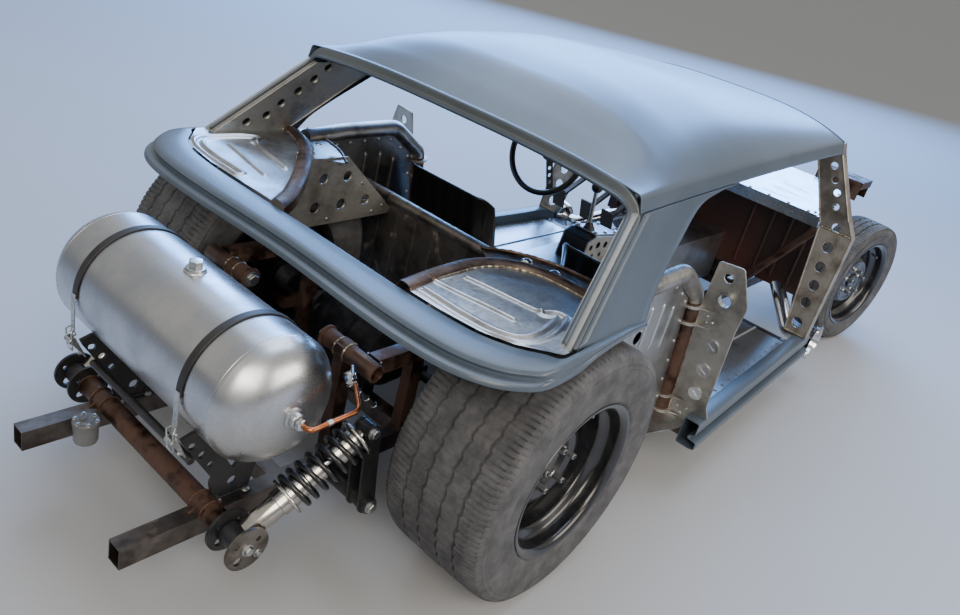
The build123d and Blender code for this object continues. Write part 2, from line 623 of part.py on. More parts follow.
def c_pillar_channels():
    """Polished channels inside the rear pillars, each with a row of dimpled holes."""
    inset, depth = 35, 31.5
    run, lean = Vector(1, SIDE_RUN, 0), Vector(0, SIDE_LEAN, 1)
    normal = run.cross(lean).normalized()

    def place(x, z):
        return Vector(x, inset - side_y(x, z), z)

    plane = Plane(origin=place(*PILLAR_WEB[0]), x_dir=run, z_dir=normal)

    def outline(corners):
        local = [plane.to_local_coords(place(x, z)) for x, z in corners]
        return [(spot.X, spot.Y) for spot in local]

    rise = (PILLAR_WEB[2][0] - PILLAR_WEB[1][0]) / (PILLAR_WEB[2][1] - PILLAR_WEB[1][1])
    past = 20
    (x0, z0), (x1, _), (x2, z2), (x3, _) = PILLAR_WEB
    trough = ((x0 + PILLAR_WALL - rise * past, z0 - past), (x1 - PILLAR_WALL - rise * past, z0 - past),
              (x2 - PILLAR_WALL + rise * past, z2 + past), (x3 + PILLAR_WALL + rise * past, z2 + past))
    web = flat(outline(PILLAR_WEB), plane, depth) - flat(outline(trough), plane.offset(SHEET), depth)
    for x, z in PILLAR_HOLES:
        spot = place(x, z)
        web -= rod(tuple(spot - normal * 8), tuple(spot + normal * 8), 13)
    return both_sides(web)


BAND_STATIONS = (          # inner edge X and Y, outer lip X and Y, height of each
    (-275, 0, -375, 0, BAND_IN_Z, BAND_OUT_Z),
    (-278, 300, -386, 308, BAND_IN_Z, BAND_OUT_Z),
    (-274, 420, -384, 450, BAND_IN_Z, BAND_OUT_Z),
    (-262, 517, -370, 545, BAND_IN_Z, BAND_OUT_Z),
    (-232, 588, -338, 616, BAND_IN_Z, BAND_OUT_Z),
    (-196, 632, -292, 662, BAND_IN_Z, BAND_OUT_Z),
    (-172, 664, -236, 686, BAND_IN_Z, 661),
    (-120, 665, -130, 686, 701, 664),
    (-40, 661, -44, 683, 703, 686),
    (80, 656, 80, 675, 704, 694),
    (171, 652, 171, 666, 696, 689))
BAND_PROFILE = (           # share of the way out, share of the way down
    (0.0, 0.0), (0.72, 0.14), (0.83, 0.34), (0.80, 0.60), (0.97, 0.76), (1.0, 1.0))


def deck_band():
    """Band round the tail: a flat top, a groove under its nose, and a lower lip."""
    sections = []
    for x0, y0, x1, y1, z0, z1 in BAND_STATIONS:
        out = Vector(x1 - x0, y1 - y0, 0)
        back = out.normalized() * -SHEET
        upper = [Vector(x0, y0, z0) + out * u + Vector(0, 0, (z1 - z0) * w) for u, w in BAND_PROFILE]
        under = [point + back * (0 if k == 0 else 1) - Vector(0, 0, SHEET)
                 for k, point in enumerate(upper)]
        under[-1] = upper[-1] + back
        outline = upper + under[::-1]
        sections.append(make_face(Polyline(*outline, close=True)))
    return both_sides(loft(sections, ruled=True))


TUB_EDGE = [(-272, -288), (-150, -272), (-40, -268), (38, -286), (96, -328), (130, -390),
            (144, -465), (142, -560), (134, -656)]
TUB_STRIP_WAY = ((0, 1), (0.1, 1), (0, 1), (0.4, 0.92), (0.7, 0.71), (0.93, 0.37), (1, 0.05), (1, 0), (1, 0))
TUB_STRIP = 40             # width of the strip inside that edge, along each of those directions
TUB_REAR_EDGE = [(122, -700), (-160, -700), (-166, -656), (-190, -628), (-227, -584), (-257, -514),
                 (-269, -419)]
TUB_WALL_Y = 385
TUB_HOLES = ((74, 638), (164, 640), (57, 549), (155, 551), (249, 557))


def wheel_tub():
    """Right rear wheel tub: a dished top, a rim strip round it and a drilled inner wall."""
    top = flat(TUB_EDGE + TUB_REAR_EDGE, level_plane(700), SHEET)
    strip = [(x - TUB_STRIP * across, y - TUB_STRIP * along) for (x, y), (across, along) in
             zip(TUB_EDGE, TUB_STRIP_WAY)]
    top += flat(TUB_EDGE + strip[::-1], level_plane(700), 14)
    wall_plane = along_plane(-TUB_WALL_Y)
    wall = flat([(-272, 700), (95, 700), (BULKHEAD_X, 585), (BULKHEAD_X, 470), (60, 470), (-272, 590)],
                wall_plane, SHEET)
    for x, z in TUB_HOLES:
        wall -= rod((x, -TUB_WALL_Y - 9, z), (x, -TUB_WALL_Y + 9, z), 17)
    outside = flat([(-500, -400), (400, -400), (400, -900), (-500, -900)], level_plane(699), 30)
    trimmed = outside - side_wedge(SHEET)
    return top + wall - trimmed


def side_wedge(inset):
    """Block from the middle of the car out to the right body side's inner face."""
    sections = []
    for x in (-500, 500):
        low, high = [(x, inset - side_y(x, z), z) for z in (600, 800)]
        sections.append(make_face(Polyline((x, 0, 600), low, high, (x, 0, 800), close=True)))
    return loft(sections, ruled=True)


QUARTER_Y = 567            # outer face of the quarter panels, in the plane of the post tubes
POST_TUBE_Y, POST_TUBE_R, POST_TUBE_TOP = 567, 26, 603
QUARTER_TUBE_WAY = ((148, 692), (300, 706), (522, 712), (653, 620))     # X and Z along its middle


def quarter_panel():
    """Right inner panel between the rear tyre and the B-post, cut round the tyre."""
    clear = REAR_TYRE_R + 20
    low_z = RAIL_TOP + 1
    low_x = math.sqrt(clear ** 2 - (low_z - REAR_TYRE_R) ** 2)
    post = Leaning(POST_FOOT, POST_HEAD)
    top_z = REAR_TYRE_R + math.sqrt(clear ** 2 - 250 ** 2)
    outline = [ThreePointArc((low_x, low_z), (clear, REAR_TYRE_R), (250, top_z)),
               Polyline((250, top_z), (250, 680), (505, 691), (post.x(608) - POST_TUBE_R, 608),
                        (post.x(low_z) - POST_TUBE_R, low_z), (low_x, low_z))]
    return extrude(along_plane(-QUARTER_Y) * make_face(outline), SHEET)


def quarter_tubes():
    """The tube of each B-post carried on backwards, along the top of the quarter panel."""
    post_end = (Leaning(POST_FOOT, POST_HEAD).x(POST_TUBE_TOP), POST_TUBE_TOP)
    points = [(x, -POST_TUBE_Y, z) for x, z in QUARTER_TUBE_WAY + (post_end,)]
    return both_sides(bent_tube(points, [200, 85, 38], POST_TUBE_R))


POST_HOLES = ((645, 709, 14), (659, 649, 19), (662, 491, 20), (659, 406, 21), (659, 320, 20))


def b_post():
    """Right B-post: a tube with ring plates, and a drilled plate that faces backwards."""
    lean = Leaning(POST_FOOT, POST_HEAD)
    outline = [(-594, 204), (-594, 606), (-606, 746), (-679, 754), (-720, 649), (-710, 566),
               (-704, 292), (-722, 253), (-668, 253), (-668, 204)]
    plate = lean.plate(outline, 5)
    for y, z, radius in POST_HOLES:
        plate -= lean.hole(-y, z, radius, 12)
    low, high = RAIL_TOP - 4, POST_TUBE_TOP
    start, end = Vector(lean.x(low), -POST_TUBE_Y, low), Vector(lean.x(high), -POST_TUBE_Y, high)
    post = rod(tuple(start), tuple(end), POST_TUBE_R)
    line = (end - start).normalized()
    for z, depth in ((590, 6), (535, 6), (270, 6), (212, 6)):
        middle = start + line * ((z - low) / line.Z)
        post += rod(tuple(middle), tuple(middle + line * depth), POST_TUBE_R + 8)
    return post + plate


def rocker():
    """Right rocker: a hollow pressing with a stepped groove along its outer face."""
    start = Vector(ROCKER_REAR_X, -rocker_y(ROCKER_REAR_X), 0)
    end = Vector(ROCKER_FRONT_X, -rocker_y(ROCKER_FRONT_X), 0)
    plane = Plane(origin=start, x_dir=(0, -1, 0), z_dir=end - start)
    profile = [(0, ROCKER_BASE), (0, 186), (8, 188), (8, 196), (0, 198), (0, ROCKER_TOP),
               (-ROCKER_W, ROCKER_TOP), (-ROCKER_W, ROCKER_BASE)]
    hollow = [(-SHEET, ROCKER_BASE + SHEET), (-SHEET, ROCKER_TOP - SHEET),
              (SHEET - ROCKER_W, ROCKER_TOP - SHEET), (SHEET - ROCKER_W, ROCKER_BASE + SHEET)]
    flip = plane.y_dir.Z
    outer = flat([(u, flip * v) for u, v in profile], plane, (end - start).length)
    return outer - flat([(u, flip * v) for u, v in hollow], plane, (end - start).length)


LOWER_HOLES = ((592, 678), (594, 605), (601, 528), (610, 455), (611, 383), (615, 298))
UPPER_HOLES = ((500, 897), (522, 850), (545, 807), (560, 758))


def channel(lean, outline, hollow, depth):
    """A channel section with its web in the leaning plane and flanges forward of it."""
    whole = lean.plate(outline, depth)
    inner = flat(lean.points(hollow), lean.plane.offset(SHEET), depth)
    return whole - inner


def a_pillar():
    """Right A-pillar: a drilled channel with a kink where the cowl meets it."""
    lower = Leaning(PILLAR_FOOT, PILLAR_KINK)
    upper = Leaning(PILLAR_KINK, PILLAR_HEAD)
    low = channel(lower, [(-584, 252), (-669, 252), (-660, 668), (-532, 668)],
                  [(-587, 240), (-666, 240), (-657, 680), (-535, 680)], 46)
    high = channel(upper, [(-532, 662), (-660, 662), (-622, 725), (-513, 943), (-501, 980), (-446, 980),
                           (-434, 908), (-529, 682)],
                   [(-535, 650), (-657, 650), (-619, 724), (-509, 944), (-496, 990), (-449, 990),
                    (-438, 909), (-532, 684)], 40)
    low -= box(PILLAR_FOOT[0] - 60, PILLAR_FOOT[0] + 60, -700, -500, ROCKER_TOP - 60, ROCKER_TOP)
    for y, z in LOWER_HOLES:
        low -= lower.hole(-y, z, 22, 12)
        high -= lower.hole(-y, z, 22, 12)
    for y, z in UPPER_HOLES:
        high -= upper.hole(-y, z, 14, 12)
    return low + high


def floor_pan():
    """Floor on both sides of the tunnel, and the tunnel over the propeller shaft."""
    rear_x = BULKHEAD_X + SHEET
    inner = ROCKER_W + SHEET + 1
    side = flat([(rear_x, -TUNNEL_Y), (rear_x, -QUARTER_Y), (ROCKER_REAR_X, -rocker_y(ROCKER_REAR_X) + inner),
                 (FLOOR_FRONT_X, -rocker_y(FLOOR_FRONT_X) + inner), (FLOOR_FRONT_X, -TUNNEL_Y)],
                level_plane(FLOOR_Z), SHEET)
    tunnel = box(rear_x, FIREWALL_X, -TUNNEL_Y, TUNNEL_Y, RAIL_TOP, TUNNEL_TOP)
    tunnel -= box(rear_x, FIREWALL_X, -TUNNEL_Y + SHEET, TUNNEL_Y - SHEET, RAIL_TOP, TUNNEL_TOP - SHEET)
    return both_sides(side) + tunnel


def rear_bulkhead():
    """Bulkhead behind the seats, with a round rail along its top."""
    half = QUARTER_Y
    plate = box(BULKHEAD_X, BULKHEAD_X + SHEET, -half, half, RAIL_TOP, 548)
    plate -= box(BULKHEAD_X - 5, BULKHEAD_X + 10, -80, 80, RAIL_TOP - 5, TUNNEL_TOP)
    return plate + rod((BULKHEAD_X + 2, -half, 548), (BULKHEAD_X + 2, half, 548), 19)


def seat_shell():
    """Right seat: a bent sheet back with side wings, and its base on the floor."""
    inner, outer = 134, 532
    back = square_bar((606, -(inner + outer) / 2, FLOOR_Z + 60), (553, -(inner + outer) / 2, 612),
                      outer - inner, 8, (1, 0, 0))
    base = box(602, 1010, -outer, -inner, FLOOR_Z + SHEET, FLOOR_Z + 60)
    base -= box(590, 1004, 8 - outer, -8 - inner, FLOOR_Z, FLOOR_Z + 52)
    wings = joined([flat([(560, 560), (600, FLOOR_Z + 60), (700, FLOOR_Z + 60), (640, 470)],
                         along_plane(y), 5) for y in (5 - outer, -inner)])
    return back + base + wings


def firewall():
    """Plate between cabin and engine, notched over the tunnel."""
    plate = box(FIREWALL_X, FIREWALL_X + SHEET, -490, 490, 290, COWL_Z)
    return plate - box(FIREWALL_X - 5, FIREWALL_X + 10, -TUNNEL_Y + 2, TUNNEL_Y - 2, 280, TUNNEL_TOP - SHEET)


def cowl_deck():
    """Flat top panel ahead of the cabin, with its rails and two legs on the frame."""
    deck = flat([(COWL_REAR_X, -508), (COWL_REAR_X, 508), (COWL_FRONT_X, 420), (COWL_FRONT_X, -420)],
                level_plane(COWL_Z), SHEET)
    rails = box(COWL_REAR_X, COWL_REAR_X + 22, -524, 524, 655, COWL_Z)
    rails += box(COWL_FRONT_X - 26, COWL_FRONT_X, -420, 420, 660, COWL_Z)
    leg = box(COWL_FRONT_X - 26, COWL_FRONT_X, -RAIL_OUT + 6, -RAIL_IN - 6, RAIL_TOP, 660)
    return deck + rails + both_sides(leg)


def front_braces():
    """Round braces from the A-pillar kinks down to the frame rails."""
    return both_sides(rod((1752, -517, 640), (1958, -236, 212), 17))


def exhaust_pipes():
    """A side pipe from each side of the engine to its large outlet ahead of the rocker."""
    x, z = EXHAUST_OUTLET
    tip_in, tip_out, wall = 590, 672, 3
    points = [(2060, -165, 330), (2060, -350, 330), (x, -555, z), (x, -tip_in, z)]
    pipe = bent_tube(points, [60, 40], 30)
    flare = turned([(0, 0), (30, 0), (EXHAUST_R - 8, 40), (EXHAUST_R, tip_out - tip_in),
                    (EXHAUST_R - wall, tip_out - tip_in), (EXHAUST_R - 8 - wall, 42), (30, 6), (0, 6)],
                   Plane(origin=(x, -tip_in, z), z_dir=(0, -1, 0)))
    return both_sides(pipe + flare)


def pedals():
    """Three hanging pedals on one pivot bar, carried by brackets on the firewall."""
    pieces = [rod((1880, 150, 610), (1880, 460, 610), 9)]
    for y in (430, 285, 180):
        pieces.append(square_bar((1880, y, 610), (1432, y, 420), 12, 20, (0, 1, 0)))
        pieces.append(square_bar((1446, y, 380), (1420, y, 460), 56, 8, (1, 0, 0)))
    for y in (150, 460):
        pieces.append(box(1870, FIREWALL_X, y - 4, y + 4, 596, 640))
    return joined(pieces)


def gear_shift():
    """Shift housing on the tunnel, with its lever and knob."""
    housing = flat([(900, TUNNEL_TOP), (1150, TUNNEL_TOP), (1120, 500), (960, 520), (915, 505)],
                   Plane(origin=(0, 55, 0), x_dir=(1, 0, 0), z_dir=(0, -1, 0)), 110)
    lever = rod((985, 0, 505), (954, 0, 668), 7)
    return housing + lever + Pos(953, 0, 682) * Sphere(20)


# Each piece in this table is cut back round the pieces named after it
CUT_ROUND = {
    "tank_cradle": ("rear_crossbar", "fuel_tank", "tank_straps", "frame_rail_left", "frame_rail_right"),
    "tank_straps": ("fuel_tank",),
    "frame_rail_left": ("rear_crossbar",),
    "frame_rail_right": ("rear_crossbar",),
    "fuel_pipe": ("fuel_tank", "shock_mounts"),
    "filter_canister": ("rear_crossbar",),
    "coilover_left": ("rear_crossbar", "shock_mounts"),
    "coilover_right": ("rear_crossbar", "shock_mounts"),
    "shock_mounts": ("frame_rail_left", "frame_rail_right"),
    "rear_arms": ("frame_rail_left", "frame_rail_right", "rear_driveline", "frame_crossmembers"),
    "rear_driveline": ("frame_crossmembers",),
    "engine_block": ("rear_driveline", "frame_crossmembers"),
    "front_suspension": ("frame_rail_left", "frame_rail_right", "rack_housing"),
    "front_coilovers": ("front_suspension",),
    "frame_crossmembers": ("rocker_left", "rocker_right"),
    "deck_band": ("roof_shell",),
    "c_pillar_channels": ("roof_shell", "deck_band"),
    "wheel_tub_left": ("roof_shell", "deck_band", "c_pillar_channels"),
    "wheel_tub_right": ("roof_shell", "deck_band", "c_pillar_channels"),
    "b_post_left": ("rocker_left", "frame_crossmembers"),
    "b_post_right": ("rocker_right", "frame_crossmembers"),
    "quarter_panel_left": ("b_post_left", "wheel_tub_left", "frame_crossmembers"),
    "quarter_panel_right": ("b_post_right", "wheel_tub_right", "frame_crossmembers"),
    "quarter_tubes": ("quarter_panel_left", "quarter_panel_right", "b_post_left", "b_post_right",
                      "wheel_tub_left", "wheel_tub_right", "roof_shell"),
    "a_pillar_left": ("roof_shell", "rocker_left"),
    "a_pillar_right": ("roof_shell", "rocker_right"),
    "rear_bulkhead": ("wheel_tub_left", "wheel_tub_right", "quarter_panel_left", "quarter_panel_right",
                      "rear_arms", "frame_rail_left", "frame_rail_right", "frame_crossmembers"),
    "floor_pan": ("rear_bulkhead", "b_post_left", "b_post_right", "quarter_panel_left",
                  "quarter_panel_right", "rocker_left", "rocker_right", "frame_crossmembers",
                  "engine_block"),
    "seat_left": ("floor_pan", "rear_bulkhead"),
    "seat_right": ("floor_pan", "rear_bulkhead"),
    "firewall": ("floor_pan", "engine_block"),
    "cowl_deck": ("firewall", "a_pillar_left", "a_pillar_right", "frame_rail_left", "frame_rail_right"),
    "front_braces": ("a_pillar_left", "a_pillar_right", "frame_rail_left", "frame_rail_right",
                     "cowl_deck", "frame_crossmembers"),
    "exhaust_pipes": ("engine_block", "frame_rail_left", "frame_rail_right", "firewall"),
    "steering_column": ("firewall", "engine_block", "steering_wheel"),
    "pedals": ("firewall", "steering_column"),
    "gear_shift": ("floor_pan",),
}


def pieces():
    """Every piece by its name, still measured from the rear axle."""
    nodes = {
        "frame_rail_right": frame_rail(),
        "frame_crossmembers": crossmembers(),
        "rear_crossbar": crossbar(),
        "shock_mounts": shock_mounts(),
        "coilover_right": coilover(),
        "fuel_tank": fuel_tank(),
        "tank_straps": tank_straps(),
        "tank_cradle": tank_cradle(),
        "fuel_pipe": fuel_pipe(),
        "filter_canister": filter_canister(),
        "rear_driveline": rear_driveline(),
        "rear_arms": rear_arms(),
        "engine_block": engine_block(),
        "front_suspension": front_suspension(),
        "front_coilovers": front_coilovers(),
        "rack_housing": rack_housing(),
        "steering_rack": steering_rack(),
        "steering_column": steering_column(),
        "steering_wheel": steering_wheel(),
        "roof_shell": roof_shell(),
        "c_pillar_channels": c_pillar_channels(),
        "deck_band": deck_band(),
        "wheel_tub_right": wheel_tub(),
        "quarter_panel_right": quarter_panel(),
        "quarter_tubes": quarter_tubes(),
        "b_post_right": b_post(),
        "rocker_right": rocker(),
        "a_pillar_right": a_pillar(),
        "floor_pan": floor_pan(),
        "rear_bulkhead": rear_bulkhead(),
        "seat_right": seat_shell(),
        "firewall": firewall(),
        "cowl_deck": cowl_deck(),
        "front_braces": front_braces(),
        "exhaust_pipes": exhaust_pipes(),
        "pedals": pedals(),
        "gear_shift": gear_shift(),
    }
    for name in [name for name in nodes if name.endswith("_right")]:
        nodes[name.replace("_right", "_left")] = mirrored(nodes[name])
    for side, sign in (("left", 1), ("right", -1)):
        nodes[f"knuckle_{side}"] = knuckle(sign)
        for end in ("front", "rear"):
            nodes[f"{end}_wheel_{side}"] = wheel(sign, end == "front")
            nodes[f"{end}_tyre_{side}"] = placed_tyre(sign, end == "front")
    for name, others in CUT_ROUND.items():
        for other in others:
            nodes[name] -= nodes[other]
    return nodes


os.makedirs("parts", exist_ok=True)
for name, solid in pieces().items():
    export_step(Pos(-MIDDLE_X, 0, 0) * solid, f"parts/{name}.step")
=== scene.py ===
"""Looks of a stripped street rod with a chopped hard top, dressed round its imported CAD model.

The shapes are written in millimetres, measured as the CAD source measures them: X forward
from the rear axle, Y to the left, Z up from the ground. One function moves them to the
frame's metres.
"""
from __future__ import annotations

import logging
import math
from dataclasses import dataclass
from enum import Enum

import bmesh
import bpy
import numpy as np
from mathutils import Matrix
from mathutils.geometry import tessellate_polygon


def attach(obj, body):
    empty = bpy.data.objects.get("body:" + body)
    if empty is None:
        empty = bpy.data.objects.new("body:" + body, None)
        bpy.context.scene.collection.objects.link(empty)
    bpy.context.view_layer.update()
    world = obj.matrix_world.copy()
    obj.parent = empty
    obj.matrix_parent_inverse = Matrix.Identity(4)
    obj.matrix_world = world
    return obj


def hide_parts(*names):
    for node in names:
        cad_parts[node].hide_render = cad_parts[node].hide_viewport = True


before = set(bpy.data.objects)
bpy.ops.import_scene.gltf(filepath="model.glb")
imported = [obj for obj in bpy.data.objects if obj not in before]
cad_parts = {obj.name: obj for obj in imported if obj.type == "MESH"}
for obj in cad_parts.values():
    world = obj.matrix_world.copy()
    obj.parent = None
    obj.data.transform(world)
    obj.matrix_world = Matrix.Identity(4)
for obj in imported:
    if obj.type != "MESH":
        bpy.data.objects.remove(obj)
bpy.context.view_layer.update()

log = logging.getLogger("street_rod")
Array = np.ndarray
Point = tuple | Array
Tree, Node = bpy.types.NodeTree, bpy.types.Node
MIDDLE_X = 1027.5          # the frame's origin, forward of the rear axle
ALONG, ACROSS, UP = (1, 0, 0), (0, 1, 0), (0, 0, 1)
FLIP_Y = np.array([1.0, -1.0, 1.0])


class Side(Enum):
    """Side of the car, as the sign of Y."""

    LEFT = 1
    RIGHT = -1


# Small geometry helpers

def unit(vector: Array) -> Array:
    """Vectors of length one, along the last axis."""
    vector = np.asarray(vector, float)
    return vector / np.maximum(np.linalg.norm(vector, axis=-1, keepdims=True), 1e-12)


def basis(axis: Array) -> tuple[Array, Array, Array]:
    """Two directions square to an axis, and the axis itself.

    Args:
        axis: any direction.
    Returns:
        u, v and w, right-handed, with w along the axis.
    """
    w = unit(axis)
    spare = UP if abs(w[2]) < 0.9 else ALONG
    u = unit(np.cross(spare, w))
    return u, np.cross(w, u), w


def curve_through(points: list, count: int) -> Array:
    """Smooth line through points: a Catmull-Rom spline, evenly divided in its parameter.

    Args:
        points: the places it passes.
        count: how many points come out.
    Returns:
        An array of count points.
    """
    p = np.asarray(points, float)
    p = np.vstack([2 * p[0] - p[1], p, 2 * p[-1] - p[-2]])
    t = np.linspace(0, len(p) - 3 - 1e-9, count)
    k = t.astype(int)
    f = (t - k)[:, None]
    a, b, c, d = p[k], p[k + 1], p[k + 2], p[k + 3]
    return 0.5 * (2 * b + (c - a) * f + (2 * a - 5 * b + 4 * c - d) * f ** 2
                  + (3 * b - a - 3 * c + d) * f ** 3)


def bent_line(points: list, radius: float, steps: int = 8) -> Array:
    """Straight runs joined by arcs of one radius, as a bent tube's centre line.

    Args:
        points: the corners of the route, with its two ends.
        radius: the bend radius.
        steps: points along each arc.
    Returns:
        The route's points. Each arc is the corner's two tangent points blended with the
        corner by a quadratic curve, which is close to a circle for shallow bends.
    """
    p = np.asarray(points, float)
    line = [p[:1]]
    for before, corner, after in zip(p[:-2], p[1:-1], p[2:]):
        a, b = unit(before - corner), unit(after - corner)
        half = math.acos(float(np.clip(-a @ b, -1, 1))) / 2
        reach = min(radius * math.tan(half), 0.45 * np.linalg.norm(before - corner),
                    0.45 * np.linalg.norm(after - corner))
        f = np.linspace(0, 1, steps)[:, None]
        start, end = corner + a * reach, corner + b * reach
        line.append(start * (1 - f) ** 2 + 2 * corner * f * (1 - f) + end * f ** 2)
    line.append(p[-1:])
    return np.vstack(line)


def outline_round(corners: list, radius: float = 4.0, steps: int = 4) -> Array:
    """A polygon's outline with each corner rounded, as points of two coordinates."""
    p = np.asarray(corners, float)
    before, after = np.roll(p, 1, 0), np.roll(p, -1, 0)
    a, b = unit(before - p), unit(after - p)
    reach = np.minimum(radius, 0.45 * np.minimum(np.linalg.norm(before - p, axis=1),
                                                 np.linalg.norm(after - p, axis=1)))[:, None]
    f = np.linspace(0, 1, steps)[None, :, None]
    start, end, corner = (p + a * reach)[:, None], (p + b * reach)[:, None], p[:, None]
    return (start * (1 - f) ** 2 + 2 * corner * f * (1 - f) + end * f ** 2).reshape(-1, 2)


def circle(x: float, y: float, radius: float, count: int = 24) -> Array:
    """Points round a circle in a plate's own plane."""
    a = np.linspace(0, 2 * np.pi, count, endpoint=False)
    return np.c_[x + radius * np.cos(a), y + radius * np.sin(a)]


def side_ring(centre: Point, radius: float, count: int, start: float = 0.0,
              end: float = 2 * math.pi) -> Array:
    """Points round a circle about an axis across the car, between two angles."""
    a = np.linspace(start, end, count)
    return np.asarray(centre, float) + radius * np.c_[np.cos(a), np.zeros(count), np.sin(a)]


class Form:
    """Surfaces in millimetres, gathered to become one mesh with several finishes."""

    def __init__(self, *finishes: Finish) -> None:
        self.finishes = list(finishes)
        self.points: list[Array] = []
        self.faces: list[Array] = []
        self.slots: list[Array] = []
        self.count = 0

    def slot_of(self, finish: Finish | None) -> int:
        """Index of a finish, which is added the first time it is used."""
        if finish is None:
            return 0
        if finish not in self.finishes:
            self.finishes.append(finish)
        return self.finishes.index(finish)

    def mesh(self, points: Array, faces: Array, finish: Finish | None = None) -> None:
        """Adds a surface.

        Args:
            points: its corners, one row each.
            faces: rows of three or four indices, all of one length.
            finish: the finish, or None for the form's first one.
        """
        faces = np.asarray(faces, int)
        self.points.append(np.asarray(points, float).reshape(-1, 3))
        self.faces.append(faces + self.count)
        self.slots.append(np.full(len(faces), self.slot_of(finish)))
        self.count += len(self.points[-1])

    def grid(self, points: Array, finish: Finish | None = None, wrap: bool = False,
             close: bool = False, flip: bool = False) -> None:
        """Adds a surface of rows and columns.

        Args:
            points: array of rows, columns and three coordinates.
            finish: its finish.
            wrap: True joins the last row to the first.
            close: True joins the last column to the first.
            flip: True turns its faces round.
        """
        rows, columns = points.shape[:2]
        i = np.arange(rows if wrap else rows - 1)[:, None]
        j = np.arange(columns if close else columns - 1)[None, :]
        i2, j2 = (i + 1) % rows, (j + 1) % columns
        quads = np.stack(np.broadcast_arrays(i * columns + j, i2 * columns + j,
                                             i2 * columns + j2, i * columns + j2), -1)
        quads = quads.reshape(-1, 4)
        self.mesh(points, quads[:, ::-1] if flip else quads, finish)

    def lathe(self, profile: list, centre: Point, axis: Point, finish: Finish | None = None,
              segments: int = 48, close: bool = False, hexagon: bool = False) -> None:
        """Turns a profile about an axis.

        Args:
            profile: pairs of radius and distance along the axis, from its start to its end.
            centre: where the distance is 0.
            axis: the direction of the axis.
            finish: the finish.
            segments: steps round it.
            close: True joins the profile's end to its start.
            hexagon: True makes each radius that of a hexagon's corner, so a bolt's head.
        """
        u, v, w = basis(axis)
        p = np.asarray(profile, float)
        a = np.linspace(0, 2 * np.pi, segments, endpoint=False)
        r = p[None, :, :1]
        if hexagon:
            side = math.cos(math.pi / 6) / np.cos((a + math.pi / 6) % (math.pi / 3) - math.pi / 6)
            r = r * side[:, None, None]
        spin = np.cos(a)[:, None, None] * u + np.sin(a)[:, None, None] * v
        points = np.asarray(centre, float) + spin * r + w * p[None, :, 1:]
        after = np.roll(p, -1, 0)
        self.grid(points, finish, wrap=True, close=close,
                  flip=bool((p[:, 0] * after[:, 1] - after[:, 0] * p[:, 1]).sum() < 0))

    def beam(self, start: Point, end: Point, width: float, height: float,
             finish: Finish | None = None, up: Point = UP, edge: float = 4.0,
             wall: float = 0.0) -> None:
        """A square-edged bar or tube from start to end.

        Args:
            start: middle of its first end.
            end: middle of its other end.
            width: its size across, at right angles to up.
            height: its size along up.
            finish: the finish.
            up: the direction of its height.
            edge: radius of its long edges.
            wall: thickness of a tube's wall; 0 makes a solid bar.
        """
        a, b = np.asarray(start, float), np.asarray(end, float)
        run = unit(b - a)
        across = unit(np.cross(up, run))
        box = np.array([(-0.5, -0.5), (0.5, -0.5), (0.5, 0.5), (-0.5, 0.5)])
        hole = []
        if wall:
            inner = box * (width - 2 * wall, height - 2 * wall)
            hole = [outline_round(inner, max(edge - wall, 1), 3)[::-1]]
        self.plate(outline_round(box * (width, height), edge, 3), hole, a, across,
                   np.cross(run, across), float(np.linalg.norm(b - a)), finish)

    def tube(self, line: list | Array, radius: float | Array, finish: Finish | None = None,
             sides: int = 12, up: Point | None = None) -> None:
        """Carries a circle along a line, and closes both ends.

        Args:
            line: the centre line's points.
            radius: one radius, or one for each point.
            finish: the finish.
            sides: steps round the tube.
            up: a direction that the line never runs along.
        """
        line = np.asarray(line, float)
        run = unit(np.gradient(line, axis=0))
        if up is None:
            up = np.eye(3)[np.argmin(np.abs(run).max(axis=0))]
        side = unit(np.cross(run, up))
        other = np.cross(side, run)
        a = np.linspace(0, 2 * np.pi, sides, endpoint=False)
        radius = np.broadcast_to(np.asarray(radius, float), (len(line),))
        line, side, other = (np.vstack([q[:1], q, q[-1:]]) for q in (line, side, other))
        radius = np.r_[1e-4, radius, 1e-4]
        turn = np.cos(a)[None, :, None] * side[:, None] + np.sin(a)[None, :, None] * other[:, None]
        self.grid(line[:, None] + turn * radius[:, None, None], finish, close=True)

    def rod(self, start: Point, end: Point, radius: float, finish: Finish | None = None,
            sides: int = 24, edge: float = 0.8) -> None:
        """A round bar with slightly broken edges."""
        start, end = np.asarray(start, float), np.asarray(end, float)
        length = float(np.linalg.norm(end - start))
        self.lathe([(0, 0), (radius - edge, 0), (radius, edge), (radius, length - edge),
                    (radius - edge, length), (0, length)], start, end - start, finish, sides)

